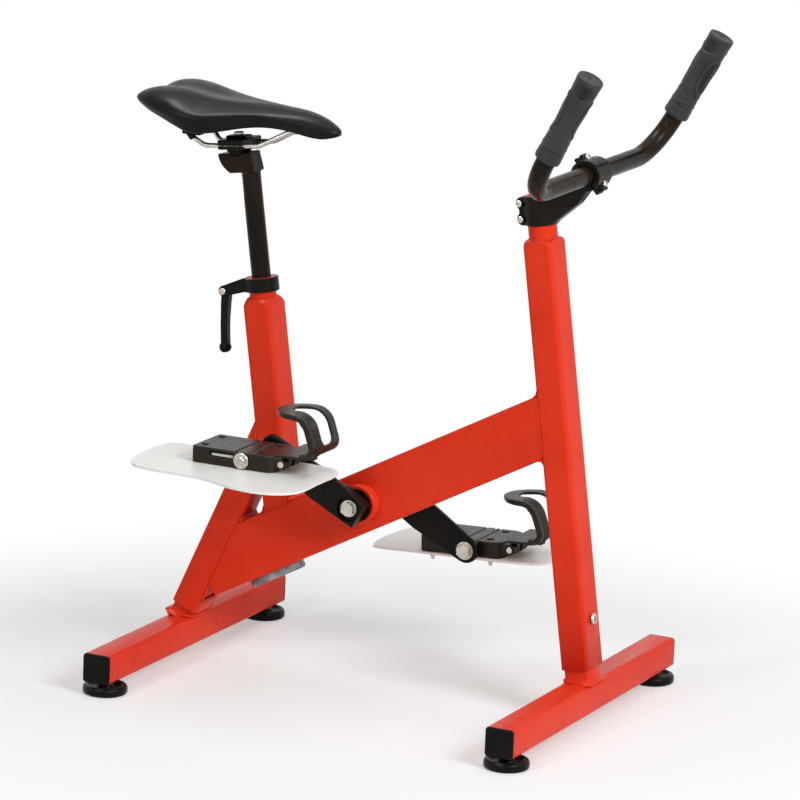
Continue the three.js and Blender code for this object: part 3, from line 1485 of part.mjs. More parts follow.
// The tub under the padding, with a socket over each end of the rails and one under the nose.
function makeSaddleShell() {
  const plate = makeShellPlate();
  const rear = onSaddle(railRearReach, railRearRise);
  const sockets = [-1, 1].map((side) => {
    const y = (side * railRearSpacing) / 2;
    const foot = rear.y + railDiameter / 2 + seatGap;
    const top = lowestUnderside(rear.x - socketSize, rear.x + socketSize) - shellGap - shellThickness / 2;
    return block(rear.x - socketSize, rear.x + socketSize, y - socketSize / 2, y + socketSize / 2, foot, top);
  });
  const tip = onSaddle(railNoseReach, railFrontRise);
  const noseTop = lowestUnderside(tip.x - socketSize, tip.x) - shellGap - shellThickness / 2;
  const noseFoot = tip.y + railDiameter / 2 + seatGap;
  const nose = block(tip.x - socketSize, tip.x, -socketSize / 2, socketSize / 2, noseFoot, noseTop);
  return join(plate, ...sockets, nose);
}

// Stem, on a group whose Z runs up the column; its own origin is the middle of the clamp

const stemMiddle = alongLean(column, columnLean, columnTopHeight) - stemClampHeight / 2;

// The bar's middle in the column's group, measured from the middle of the stem's clamp.
function barPlace() {
  const lean = columnLean * degrees;
  const dx = barReach - column.position.x;
  const dz = barHeight - column.position.z;
  const x = dx * Math.cos(lean) + dz * Math.sin(lean);
  const z = -dx * Math.sin(lean) + dz * Math.cos(lean);
  return new THREE.Vector3(x, 0, z - stemMiddle);
}

function stemAngle() {
  const bar = barPlace();
  return Math.atan2(bar.z, bar.x);
}

const barClampRadius = barDiameter / 2 + slipGap + barClampWall;
const stemBoltReach = columnNeckDiameter / 2 + stemBoltDiameter / 2 + 2 * slipGap + stemBoltWall;

function makeStem() {
  const inner = columnNeckDiameter / 2 + slipGap;
  const outer = inner + stemClampWall;
  const half = stemClampHeight / 2;
  const profile = [
    [inner, -half],
    [outer - stemClampEdge, -half],
    [outer, -half + stemClampEdge],
    [outer, half - stemClampEdge],
    [outer - stemClampEdge, half],
    [inner, half],
  ];
  const ring = turned([...profile, profile[0]], largeSides);
  const bar = barPlace();
  const ahead = new THREE.Vector3(bar.x, 0, bar.z).normalize();
  const up = new THREE.Vector3(-ahead.z, 0, ahead.x);
  const armLoop = (reach, drop, width, depth) => {
    const loop = roundedLoop(width / 2, depth / 2, Math.min(width, depth) / 4, 3);
    const place = new THREE.Vector3().addScaledVector(ahead, reach).addScaledVector(up, -drop);
    return loop.map((p) => place.clone().addScaledVector(alongY, p.x).addScaledVector(up, p.y));
  };
  const length = bar.length();
  const arm = loft([
    armLoop(stemArmStart, stemArmDrop, stemArmWidth, stemClampHeight - stemClampEdge),
    armLoop(length * stemArmWaistPlaceShare, stemArmDrop, stemArmWidth * stemArmWaistShare, stemArmDepth),
    armLoop(length - barDiameter / 2, 0, stemArmWidth, 2 * barClampRadius - barClampWall),
  ]);
  // The web that joins the two lugs, cut through by the slot.
  const webReach = stemLugReach - stemWaist;
  const web = block(-webReach, -inner, -stemLugWidth / 2, stemLugWidth / 2, -stemBoltSpread / 2, stemBoltSpread / 2);
  const lugs = [-1, 1].map((side) => {
    const z = (side * stemBoltSpread) / 2;
    const back = stemLugReach - stemLugHeight / 2;
    const shape = new THREE.Shape();
    shape.moveTo(-inner, z - stemLugHeight / 2);
    shape.lineTo(-inner, z + stemLugHeight / 2);
    shape.lineTo(-back, z + stemLugHeight / 2);
    shape.absarc(-back, z, stemLugHeight / 2, Math.PI / 2, (3 * Math.PI) / 2, false);
    return slab(shape, -stemLugWidth / 2, stemLugWidth / 2, 6);
  });
  const clamp = ontoY(rod(2 * barClampRadius, -barClampWidth / 2, barClampWidth / 2, 0, largeSides)).translate(bar.x, 0, bar.z);
  const ears = faceLug(-faceLugThickness - faceGap / 2, -faceGap / 2);
  const bore = rod(2 * inner, -stemClampHeight, stemClampHeight, 0, largeSides);
  const slot = block(-stemLugReach - cutOverrun, 0, -stemSlotWidth / 2, stemSlotWidth / 2, -half - cutOverrun, half + cutOverrun);
  return cut(
    join(ring, arm, web, ...lugs, clamp, ears),
    bore,
    slot,
    barBore(),
    splitHalf(-faceGap / 2, 1),
    ...stemBoltHoles(),
    ...faceBoltHoles(),
  );
}

function placeAtBar(geometry) {
  const bar = barPlace();
  return geometry.rotateY(-stemAngle()).translate(bar.x, 0, bar.z);
}

// The lugs over and under the bar, between two distances ahead of its axis.
function faceLug(from, to) {
  const half = faceBoltSpread / 2 + barClampLugWidth / 2;
  const middle = (from + to) / 2;
  const loop = roundedLoop((to - from) / 2, half, faceLugRadius, 2);
  const shape = shapeOf(loop.map((p) => [middle + p.x, p.y]));
  return placeAtBar(slab(shape, -barClampLugWidth / 2, barClampLugWidth / 2));
}

function barBore() {
  const bore = ontoY(rod(barDiameter + 2 * slipGap, -barClampWidth, barClampWidth, 0, largeSides));
  return placeAtBar(bore);
}

// Everything ahead of, or behind, a plane across the bar's axis.
function splitHalf(at, side) {
  const big = stemClampHeight * 2;
  return placeAtBar(side > 0 ? block(at, at + big, -big, big, -big, big) : block(at - big, at, -big, big, -big, big));
}

function stemBoltHoles() {
  return [-1, 1].map((side) => {
    const hole = ontoY(rod(stemBoltDiameter + 2 * slipGap, -stemLugWidth, stemLugWidth, 0, smallSides));
    return hole.translate(-stemBoltReach, 0, (side * stemBoltSpread) / 2);
  });
}

function faceBoltHoles() {
  return [-1, 1].map((side) => {
    const hole = rod(stemBoltDiameter + 2 * slipGap, -stemArmDepth, stemArmDepth, 0, smallSides).rotateY(Math.PI / 2);
    return placeAtBar(hole.translate(0, 0, (side * faceBoltSpread) / 2));
  });
}

function makeFaceplate() {
  const bar = barPlace();
  const clamp = ontoY(rod(2 * barClampRadius, -barClampWidth / 2, barClampWidth / 2, 0, largeSides)).translate(bar.x, 0, bar.z);
  const face = faceGap / 2 + faceLugThickness;
  const lugs = faceLug(faceGap / 2, face);
  // Each bolt's head sinks into a round spot face that bites into the clamp.
  const spots = [-1, 1].map((side) => {
    const spot = rod(stemBoltHead + 2 * slipGap, face, face + stemClampHeight, 0, boltSides).rotateY(Math.PI / 2);
    return placeAtBar(spot.translate(0, 0, (side * faceBoltSpread) / 2));
  });
  return cut(join(clamp, lugs), barBore(), splitHalf(faceGap / 2, -1), ...faceBoltHoles(), ...spots);
}

function makeStemBolt(side) {
  const half = stemLugWidth / 2 + seatGap;
  const shank = rod(stemBoltDiameter, -half - seatGap, half - seatGap, 0, smallSides);
  const head = rod(stemBoltHead, -half - stemBoltHeadHeight, -half, stemBoltHeadHeight / 6, boltSides);
  const socket = hexagon(stemBoltHead / 2, -half - 2 * stemBoltHeadHeight, -half - stemBoltHeadHeight / 2);
  const bolt = ontoY(cut(join(shank, head), socket));
  return bolt.translate(-stemBoltReach, 0, (side * stemBoltSpread) / 2);
}

function makeFaceBolt(side) {
  const face = faceGap / 2 + faceLugThickness + seatGap;
  const shank = rod(stemBoltDiameter, -faceLugThickness, face + seatGap, 0, smallSides);
  const head = rod(stemBoltHead, face, face + stemBoltHeadHeight, stemBoltHeadHeight / 6, boltSides);
  const socket = hexagon(stemBoltHead / 2, face + stemBoltHeadHeight / 2, face + 2 * stemBoltHeadHeight);
  const bolt = cut(join(shank, head), socket).rotateY(Math.PI / 2);
  return placeAtBar(bolt.translate(0, 0, (side * faceBoltSpread) / 2));
}

// Handlebar, measured from its own middle: straight across, then up and forward into the grips

function gripTop(side) {
  return new THREE.Vector3(gripTopReach - barReach, (side * gripSpacing) / 2, gripTopHeight - barHeight);
}

function barCorner(side) {
  return new THREE.Vector3(0, (side * barCornerSpacing) / 2, 0);
}

function makeHandlebar() {
  const corners = [gripTop(-1), barCorner(-1), barCorner(1), gripTop(1)];
  const path = roundedPath(corners, [barBend, barBend], 6);
  const upright = new THREE.Vector3(1, 0, 0);
  const outer = sweepRings(path, circleLoop(barDiameter / 2, 4), upright);
  const inner = sweepRings(path, circleLoop(barDiameter / 2 - barWall, 4), upright);
  return loft([...outer, ...inner.reverse()], true);
}

// A rubber grip with a flared lip, a waist and a thick rim, closed at its top.
function makeGrip(side) {
  const bore = barDiameter / 2 + slipGap;
  const waist = gripRadius * gripWaistShare;
  const end = gripOverhang;
  const foot = end - gripLength;
  const [start, thin, wide] = gripStationShares.map((share) => end - gripLength * share);
  const profile = [
    [0, end],
    [gripRimRadius - gripEdge, end],
    [gripRimRadius, end - gripEdge],
    [gripRimRadius, end - gripRimLength],
    [gripRadius, end - gripRimLength - gripRimSlope],
    [gripRadius, start],
    [waist, thin],
    [gripRadius, wide],
    [gripFootRadius, foot + gripFootLip],
    [gripFootRadius, foot],
    [bore, foot],
    [bore, seatGap],
    [0, seatGap],
  ];
  const grip = turned(profile.reverse(), roundSides);
  const up = gripTop(side).sub(barCorner(side)).normalize();
  const turn = new THREE.Quaternion().setFromUnitVectors(new THREE.Vector3(0, 0, 1), up);
  const top = gripTop(side);
  return grip.applyQuaternion(turn).translate(top.x, top.y, top.z);
}

// Assembly

for (const [name, reach, length, lean, offset, boltSide] of [
  ["rear", 0, rearBaseLength, strutLean, 0, -1],
  ["front", wheelbase, frontBaseLength, -columnLean, columnFootOffset, 1],
]) {
  const base = addGroup(bike, name + "_crossbar_line", reach, 0, crossbarTop);
  addPiece(base, name + "_base", makeBase(length, lean * degrees, offset, boltSide), finish.red);
  for (const [sideName, side] of [["right", -1], ["left", 1]]) {
    const cap = makeEndCap();
    if (side < 0) cap.rotateZ(Math.PI);
    cap.translate(0, (side * length) / 2, -tubeSide / 2);
    addPiece(base, name + "_" + sideName + "_end_cap", cap, finish.blackPlastic);
    const foot = addGroup(bike, name + "_" + sideName + "_foot_line", reach, side * (length / 2 - footInset), 0);
    addPiece(foot, name + "_" + sideName + "_foot_pad", makeFootPad(), finish.blackPlastic);
    addPiece(foot, name + "_" + sideName + "_foot_stud", makeFootStud(), finish.steel);
  }
}

addPiece(column, "front_column", makeColumn(), finish.red);
addPiece(column, "front_base_bolt", makeBaseBolt().translate(0, 0, columnBoltPlace), finish.steel);
addPiece(strut, "rear_strut", makeStrut(), finish.red);
addPiece(strut, "rear_base_bolt", makeBaseBolt().rotateZ(Math.PI).translate(0, 0, spigotBoltHeight), finish.steel);
addPiece(seatTube, "seat_tube", makeSeatTube(), finish.red);
addPiece(beam, "main_beam", makeBeam(), finish.red);
addPiece(beam, "bottom_bracket_shell", makeShell(), finish.red);
addPiece(beam, "anode", makeAnode(), finish.zinc);
addPiece(beam, "left_bearing", ontoY(makeBearing()), finish.steel);
addPiece(beam, "right_bearing", ontoY(makeBearing()).rotateZ(Math.PI), finish.steel);

const crankset = addGroup(bike, "crank_line", bracketReach, 0, bracketHeight, -crankAngle * degrees);
addPiece(crankset, "crank_axle", makeAxle(), finish.steel);

for (const [name, side] of [["right", -1], ["left", 1]]) {
  // Seen from above, the left crank is the right one turned half round about Z.
  const arm = addGroup(crankset, name + "_arm_line", 0, 0, 0);
  arm.rotation.z = side < 0 ? 0 : Math.PI;
  addPiece(arm, name + "_crank", makeCrank(), finish.black);
  addPiece(arm, name + "_crank_bolt", makeCrankBolt(), finish.steel);
  addPiece(arm, name + "_pedal_axle", makePedalAxle().translate(crankLength, 0, 0), finish.steel);
  addPiece(arm, name + "_axle_cap", makeAxleCap().translate(crankLength, 0, 0), finish.steel);

  // The pedals stay level: their groups undo the crank's turn.
  const reach = crankLength * Math.cos(crankAngle * degrees) * -side;
  const rise = crankLength * Math.sin(crankAngle * degrees) * -side;
  const pitch = side < 0 ? 0 : leftPedalAngle * degrees;
  const pedal = addGroup(bike, name + "_pedal_line", bracketReach + reach, 0, bracketHeight + rise, pitch);
  // Body and cage are the same mouldings on both sides, so they are shifted and not mirrored.
  const shift = side < 0 ? 0 : pedalInnerFace + pedalOuterFace;
  addPiece(pedal, name + "_pedal_body", makePedalBody().translate(0, shift, 0), finish.blackPlastic);
  addPiece(pedal, name + "_toe_cage", makeToeCage().translate(0, shift, 0), finish.blackPlastic);
  addPiece(pedal, name + "_toe_cage_pin", makePin().translate(0, shift, 0), finish.steel);
  const plate = makeWaterPlate();
  if (side > 0) plate.scale(1, -1, 1);
  addPiece(pedal, name + "_water_plate", side > 0 ? facingOut(plate) : plate, finish.plate);
}

const collar = addGroup(seatTube, "collar_line", 0, 0, collarMiddle);
addPiece(collar, "seat_collar", makeCollar(), finish.black);
const lever = addGroup(collar, "lever_line", -earReach, 0, -earDrop, columnLean * degrees);
addPiece(lever, "collar_lever", makeLever(), finish.black);
addPiece(lever, "lever_pin", makeLeverPin(), finish.steel);
addPiece(seatTube, "seat_post", makeSeatPost(), finish.black);

const clampMiddle = clampCentre();
const clamp = addGroup(seatTube, "clamp_line", clampMiddle.x, 0, clampMiddle.z, (columnLean - railTilt) * degrees);
addPiece(clamp, "rail_clamp_lower", makeLowerJaw(), finish.black);
addPiece(clamp, "rail_clamp_upper", makeUpperJaw(), finish.black);
addPiece(clamp, "rail_clamp_bolt", makeClampBolt(), finish.steel);
addPiece(clamp, "saddle_rails", makeRails(), finish.steel);
const level = addGroup(clamp, "saddle_level", 0, 0, 0, railTilt * degrees);
const saddle = addGroup(level, "saddle_line", -saddleRearOverhang, 0, saddleBase);
addPiece(saddle, "saddle_shell", makeSaddleShell(), finish.blackPlastic);
addPiece(saddle, "saddle_cover", makeCover(), finish.cover);

const stem = addGroup(column, "stem_line", 0, 0, stemMiddle);
addPiece(stem, "stem", makeStem(), finish.black);
addPiece(stem, "stem_faceplate", makeFaceplate(), finish.black);
addPiece(stem, "stem_upper_bolt", makeStemBolt(1), finish.steel);
addPiece(stem, "stem_lower_bolt", makeStemBolt(-1), finish.steel);
addPiece(stem, "faceplate_upper_bolt", makeFaceBolt(1), finish.steel);
addPiece(stem, "faceplate_lower_bolt", makeFaceBolt(-1), finish.steel);

const bar = addGroup(bike, "bar_line", barReach, 0, barHeight);
addPiece(bar, "handlebar", makeHandlebar(), finish.black);
addPiece(bar, "right_grip", makeGrip(-1), finish.rubber);
addPiece(bar, "left_grip", makeGrip(1), finish.rubber);

// The whole bike is moved so that its box stands over the origin.
bike.updateMatrixWorld(true);
const extent = new THREE.Box3().setFromObject(bike, true);
bike.position.x = -(extent.min.x + extent.max.x) / 2;

export default bike;
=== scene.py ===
# %% [markdown]
# # Aqua bike
# An aqua bike stands on the floor of a swimming pool, and its rider pedals against the water.
# Its frame is welded from painted rectangular tube, and everything that turns or is gripped is bolted on.
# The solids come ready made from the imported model. This script dresses them: it gives each one
# its finish, swaps many pieces for fuller forms, and adds the small hardware.

import json
import math

import bmesh
import bpy
from mathutils import Matrix, Quaternion, Vector
from mathutils.bvhtree import BVHTree

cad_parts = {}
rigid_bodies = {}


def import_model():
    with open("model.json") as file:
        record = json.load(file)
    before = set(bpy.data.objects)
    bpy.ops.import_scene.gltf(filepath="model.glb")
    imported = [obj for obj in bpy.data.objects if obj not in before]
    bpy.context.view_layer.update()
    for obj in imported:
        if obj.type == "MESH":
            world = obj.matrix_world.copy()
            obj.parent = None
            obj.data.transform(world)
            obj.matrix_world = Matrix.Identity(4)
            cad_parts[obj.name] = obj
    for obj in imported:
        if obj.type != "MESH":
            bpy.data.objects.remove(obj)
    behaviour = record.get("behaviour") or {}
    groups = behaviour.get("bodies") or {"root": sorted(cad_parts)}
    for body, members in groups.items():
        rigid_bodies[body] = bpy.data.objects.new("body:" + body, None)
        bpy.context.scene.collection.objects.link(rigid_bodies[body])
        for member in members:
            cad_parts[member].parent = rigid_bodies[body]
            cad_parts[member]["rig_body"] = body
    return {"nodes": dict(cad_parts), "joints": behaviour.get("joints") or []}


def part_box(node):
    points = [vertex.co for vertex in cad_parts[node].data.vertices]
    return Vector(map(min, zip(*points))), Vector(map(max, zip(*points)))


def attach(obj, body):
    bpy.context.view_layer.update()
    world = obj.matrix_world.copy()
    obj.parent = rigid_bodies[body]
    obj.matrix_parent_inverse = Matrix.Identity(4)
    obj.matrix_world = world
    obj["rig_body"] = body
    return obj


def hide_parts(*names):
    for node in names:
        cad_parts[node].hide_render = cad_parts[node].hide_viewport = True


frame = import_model()
solids = frame["nodes"]
joints = {joint["name"]: joint for joint in frame["joints"]}
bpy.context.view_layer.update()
MM = 0.001

# %% Helpers for objects, meshes and nodes


def into_scene(name, data):
    thing = bpy.data.objects.new(name, data)
    bpy.context.scene.collection.objects.link(thing)
    return thing


def plain_mesh(name, points, faces=(), edges=()):
    mesh = bpy.data.meshes.new(name)
    mesh.from_pydata([tuple(p) for p in points], edges, faces)
    return mesh


def add_node(tree, kind, **values):
    """A new node, with named inputs or settings filled in."""
    node = tree.nodes.new(kind)
    for name, value in values.items():
        socket = node.inputs.get(name.replace("_", " "))
        if socket is not None:
            socket.default_value = value
        else:
            setattr(node, name, value)
    return node


def link(tree, source, target):
    tree.links.new(source, target)


def chain(tree, *nodes):
    """Joins the first output of each node to the first input of the next."""
    for node, after in zip(nodes, nodes[1:]):
        tree.links.new(node.outputs[0], after.inputs[0])


def seen(colour):
    """A colour as it is seen, 0 to 255, in the renderer's own numbers."""
    shares = [c / 255 for c in colour]
    return (*[c / 12.92 if c <= 0.04045 else ((c + 0.055) / 1.055) ** 2.4 for c in shares], 1)


# %% [markdown]
# ## The camera
# The photograph was taken from far away with a long lens, so parallel edges stay nearly parallel.
# A camera can be pointed with a Track To constraint, but a constraint can't hold a small roll.
# So the camera's own axes are worked out from the direction it looks in, and set as a matrix.

# %% Camera
camera_place = Vector((2.8692, -5.9616, 1.9359))
camera_ahead = Vector((-0.42101, 0.87839, -0.22624)).normalized()
camera_roll = 0.0408
focal_share = 5098.65 / 800  # focal length as a share of the picture's width

level_right = camera_ahead.cross(Vector((0, 0, 1))).normalized()
level_up = level_right.cross(camera_ahead)
right = level_right * math.cos(camera_roll) + level_up * math.sin(camera_roll)
up = level_up * math.cos(camera_roll) - level_right * math.sin(camera_roll)

lens = bpy.data.cameras.new("long_lens")
lens.sensor_fit = "HORIZONTAL"
lens.sensor_width = 36.0
lens.lens = focal_share * lens.sensor_width
lens.clip_end = 60
camera = into_scene("long_lens", lens)
axes = Matrix((right, up, -camera_ahead)).transposed().to_4x4()
camera.matrix_world = Matrix.Translation(camera_place) @ axes
bpy.context.scene.camera = camera
bpy.context.scene.view_settings.view_transform = "Standard"
print("lens in mm:", round(lens.lens, 1))

# %% [markdown]
# ## The floor and the light
# A studio photograph like this one has a white sweep and large soft lamps, which leave pale soft shadows.
# The floor is a real white surface near the bike, so that it catches the shadows.
# Further out it turns into plain white, but only for rays that look straight at it or mirror it.
# A bigger lamp could burn the floor out to white as well, but then the paint would burn out too.

# %% World
sky_level = 0.27  # light that the white surroundings give, while they look plain white themselves


def seen_or_mirrored(tree):
    """1 for camera, glossy and transmission rays, which see the background, and 0 for all others."""
    path = add_node(tree, "ShaderNodeLightPath")
    share = path.outputs["Is Camera Ray"]
    for ray in ("Is Glossy Ray", "Is Transmission Ray"):
        either = add_node(tree, "ShaderNodeMath", operation="MAXIMUM")
        link(tree, share, either.inputs[0])
        link(tree, path.outputs[ray], either.inputs[1])
        share = either.outputs[0]
    return share


def mix_into(tree, output, share, first, second):
    """Sends a mix of two shaders to the tree's output."""
    either = add_node(tree, "ShaderNodeMixShader")
    for source, socket in zip((share, first.outputs[0], second.outputs[0]), either.inputs):
        link(tree, source, socket)
    chain(tree, either, add_node(tree, output))


world = bpy.data.worlds.new("white_studio")
world.use_nodes = True
tree = world.node_tree
tree.nodes.clear()
sky = add_node(tree, "ShaderNodeBackground", Color=(1, 1, 1, 1), Strength=sky_level)
backdrop = add_node(tree, "ShaderNodeBackground", Color=(1, 1, 1, 1), Strength=1.0)
mix_into(tree, "ShaderNodeOutputWorld", seen_or_mirrored(tree), sky, backdrop)
bpy.context.scene.world = world
print("light of the sky:", sky_level)

# %% Floor
floor_half = 30.0
plain_from, plain_to = 0.45, 0.95  # metres from the bike's middle where the floor turns plain white
near_share = 0.36  # share of plain white even close to the bike, which keeps the shadows pale

floor_corners = [(x * floor_half, y * floor_half, 0) for x, y in ((-1, -1), (1, -1), (1, 1), (-1, 1))]
floor = into_scene("studio_floor", plain_mesh("studio_floor", floor_corners, [(0, 1, 2, 3)]))

sweep = bpy.data.materials.new("white_sweep")
sweep.use_nodes = True
tree = sweep.node_tree
tree.nodes.clear()
reach = add_node(tree, "ShaderNodeVectorMath", operation="LENGTH")
link(tree, add_node(tree, "ShaderNodeTexCoord").outputs["Object"], reach.inputs[0])
spread = add_node(
    tree, "ShaderNodeMapRange", interpolation_type="SMOOTHSTEP",
    From_Min=plain_from, From_Max=plain_to, To_Min=near_share, To_Max=1.0,
)
link(tree, reach.outputs["Value"], spread.inputs["Value"])
gate = add_node(tree, "ShaderNodeMath", operation="MULTIPLY")
link(tree, spread.outputs["Result"], gate.inputs[0])
link(tree, seen_or_mirrored(tree), gate.inputs[1])
paper = add_node(tree, "ShaderNodeBsdfDiffuse", Color=(0.93, 0.93, 0.93, 1))
glow = add_node(tree, "ShaderNodeEmission", Color=(1, 1, 1, 1), Strength=1.0)
mix_into(tree, "ShaderNodeOutputMaterial", gate.outputs[0], paper, glow)
floor.data.materials.append(sweep)
print("floor in metres:", 2 * floor_half)

# %% Lamps
# Each lamp: where it hangs, how wide it is, and its power in watts.
# The last one is only seen in the gloss. It draws the soft bright band along the saddle's side.
lamps = {
    "window_side": ((3.2, -1.4, 2.6), 1.5, 108.0),
    "overhead": ((0.0, 0.0, 3.4), 2.6, 34.0),
    "camera_side": ((-0.8, -3.6, 2.2), 0.45, 22.0),
    "gloss_only": ((-0.55, -0.4, 2.85), 0.7, 42.0),
}
lit_spot = Vector((0, 0, 0.4))
for name, (place, width, watts) in lamps.items():
    lamp = into_scene(name, bpy.data.lights.new(name, "AREA"))
    lamp.data.shape = "SQUARE"
    lamp.data.size = width
    lamp.data.energy = watts
    aim = (lit_spot - Vector(place)).to_track_quat("-Z", "Y")
    lamp.matrix_world = Matrix.Translation(place) @ aim.to_matrix().to_4x4()
    lamp.visible_diffuse = name != "gloss_only"
print("lamps:", ", ".join(lamps))

# %% [markdown]
# ## The finishes
# A maker orders each finish by name: powder coat, anodised tube, moulded plastic, rubber, vinyl, steel.
# Every one is built from the same few parts. A base colour drifts a little between two tones.
# The gloss drifts too, and a fine relief gives the grain its real size in metres.
# A Bevel node rounds the edges in the shading by about a millimetre or less, as paint and moulds do.
# Cutting real bevels would do the same, but the solids' own meshes have to stay as they are.

# %% Helpers for finishes
NOISE = "ShaderNodeTexNoise"
CELLS = "ShaderNodeTexVoronoi"


def pattern(tree, scale, detail, kind=NOISE, stretch=(1, 1, 1)):
    """A noise or cell pattern on the object's own coordinates, which are in metres."""
    turn = add_node(tree, "ShaderNodeMapping", Scale=stretch)
    link(tree, add_node(tree, "ShaderNodeTexCoord").outputs["Object"], turn.inputs["Vector"])
    texture = add_node(tree, kind, Scale=scale, Detail=detail)
    chain(tree, turn, texture)
    return texture.outputs[0]


def new_finish(name, colour, roughness, tones, gloss, layers, edge=0.0, **constants):
    """A finish. tones and gloss are the two values that each drifts between, and the drift's scale.
    A layer of the relief is its scale, its depth in metres, its kind and any stretch."""
    material = bpy.data.materials.new(name)
    material.use_nodes = True
    tree = material.node_tree
    shader = tree.nodes["Principled BSDF"]
    shader.inputs["Base Color"].default_value = seen(colour)
    shader.inputs["Roughness"].default_value = roughness
    for key, value in constants.items():
        shader.inputs[key.replace("_", " ")].default_value = value

    *tones, scale = tones
    ramp = add_node(tree, "ShaderNodeValToRGB")
    for element, position, tone in zip(ramp.color_ramp.elements, (0.35, 0.65), tones):
        element.position = position
        element.color = seen(tone)
    link(tree, pattern(tree, scale, 4.0), ramp.inputs["Fac"])
    link(tree, ramp.outputs["Color"], shader.inputs["Base Color"])

    low, high, scale = gloss
    spread = add_node(tree, "ShaderNodeMapRange", From_Min=0.3, From_Max=0.7, To_Min=low, To_Max=high)
    link(tree, pattern(tree, scale, 4.0), spread.inputs["Value"])
    link(tree, spread.outputs["Result"], shader.inputs["Roughness"])

    normal = None
    if edge > 0:
        normal = add_node(tree, "ShaderNodeBevel", samples=6, Radius=edge).outputs["Normal"]
    for scale, depth, kind, *stretch in layers:
        grain = add_node(tree, "ShaderNodeBump", Strength=1.0, Distance=depth)
        link(tree, pattern(tree, scale, 2.0, kind, *stretch), grain.inputs["Height"])
        if normal is not None:
            link(tree, normal, grain.inputs["Normal"])
        normal = grain.outputs["Normal"]
    link(tree, normal, shader.inputs["Normal"])
    return material


# %% [markdown]
# ### Red powder coat
# The frame is sprayed with powder and baked. The skin is smooth but has a faint orange peel,
# a few millimetres from hill to hill, and the colour is strong and even.

# %% Red powder coat
red_coat = new_finish(
    "red_powder_coat", (219, 55, 31), 0.27, ((215, 51, 28), (224, 59, 34), 9.0), (0.22, 0.3, 40.0),
    [(260.0, 0.000012, NOISE)], edge=0.0012, Specular_IOR_Level=0.06,
)

# %% [markdown]
# ### Black finishes
# Several kinds of black sit side by side on the bike. They differ a little in tone, gloss and grain.
# The bar and post are anodised tube, satin and drawn lengthwise. The cranks and clamps are cast and coated.
# The caps, pads and pedals are moulded plastic with a fine spark-eroded grain. The grips are soft rubber.

# %% Black finishes
anodised_black = new_finish(
    "black_anodised_tube", (24, 18, 13), 0.24, ((17, 13, 10), (38, 27, 17), 10.0), (0.2, 0.34, 60.0),
    [(1800.0, 0.000004, NOISE)], edge=0.0006, Specular_IOR_Level=0.08,
)

coated_black = new_finish(
    "black_coated_metal", (17, 15, 11), 0.28, ((12, 11, 8), (26, 21, 14), 22.0), (0.22, 0.36, 70.0),
    [(700.0, 0.00003, NOISE)], edge=0.0008, Specular_IOR_Level=0.1,
)

moulded_black = new_finish(
    "black_moulded_plastic", (13, 13, 11), 0.32, ((10, 10, 8), (18, 17, 14), 26.0), (0.24, 0.38, 90.0),
    [(1500.0, 0.00003, CELLS)], edge=0.0007, Specular_IOR_Level=0.1,
)

pedal_black = new_finish(
    "black_pedal_plastic", (34, 27, 17), 0.36, ((27, 21, 13), (42, 34, 22), 24.0), (0.3, 0.42, 80.0),
    [(1100.0, 0.00002, CELLS)], edge=0.0009, Specular_IOR_Level=0.22,
)

grip_rubber = new_finish(
    "grip_rubber", (38, 39, 39), 0.46, ((34, 35, 35), (48, 48, 48), 32.0), (0.42, 0.58, 90.0),
    [(1300.0, 0.00007, CELLS)], edge=0.0006, Specular_IOR_Level=0.3,
)

# The rubber is painted darker in its grooves by the depth kept on its mesh: painted shade where the grooves
# lie in shadow.
tree = grip_rubber.node_tree
base_colour = tree.nodes["Principled BSDF"].inputs["Base Color"]
shade_attribute = add_node(tree, "ShaderNodeAttribute", attribute_name="groove")
shade_mix = add_node(tree, "ShaderNodeMix", data_type="RGBA", blend_type="MIX")
link(tree, shade_attribute.outputs["Fac"], shade_mix.inputs[0])
link(tree, base_colour.links[0].from_socket, shade_mix.inputs[6])
# Painted shade: the colour that the deepest grooves are darkened to.
shade_mix.inputs[7].default_value = seen((6, 6, 6))
link(tree, shade_mix.outputs[2], base_colour)

# %% [markdown]
# ### Steel, zinc and the clear plates
# Stainless fasteners are turned or forged, so they keep fine tool marks and a satin shine.
# The anode is cast zinc, dull and pitted. The water plates are milky sheet plastic,
# which lets some light through.

# %% Metals and plates
stainless = new_finish(
    "stainless_steel", (196, 190, 180), 0.3, ((182, 176, 166), (208, 203, 194), 60.0), (0.22, 0.4, 120.0),
    [(900.0, 0.00002, NOISE, (1, 1, 4))], edge=0.0004, Metallic=1.0,
)

cast_zinc = new_finish(
    "cast_zinc", (148, 151, 153), 0.55, ((118, 121, 123), (172, 175, 177), 70.0), (0.42, 0.7, 110.0),
    [(160.0, 0.0006, NOISE), (620.0, 0.0002, NOISE)], edge=0.0012, Metallic=0.75,
)

milky_plate = new_finish(
    "milky_plate_plastic", (251, 251, 247), 0.3, ((248, 248, 243), (254, 254, 250), 12.0), (0.28, 0.4, 50.0),
    [(90.0, 0.00008, NOISE)], edge=0.0006, Transmission_Weight=0.12, IOR=1.45, Subsurface_Weight=0.15,
)

# %% [markdown]
# ### Saddle cover
# The cover is coated cloth, pressed with a leather grain about a millimetre across.

# %% Saddle cover
saddle_vinyl = new_finish(
    "saddle_vinyl", (17, 15, 14), 0.34, ((14, 13, 13), (22, 18, 15), 12.0), (0.3, 0.38, 60.0),
    [(900.0, 0.00004, CELLS)], Specular_IOR_Level=0.13,
)

# %% [markdown]
# ### Which solid gets which finish
# A long list of sixty names would be hard to check. The names follow one pattern, the piece last,
# so the finishes are handed out by the end of the name, and the red frame tubes are named in full.

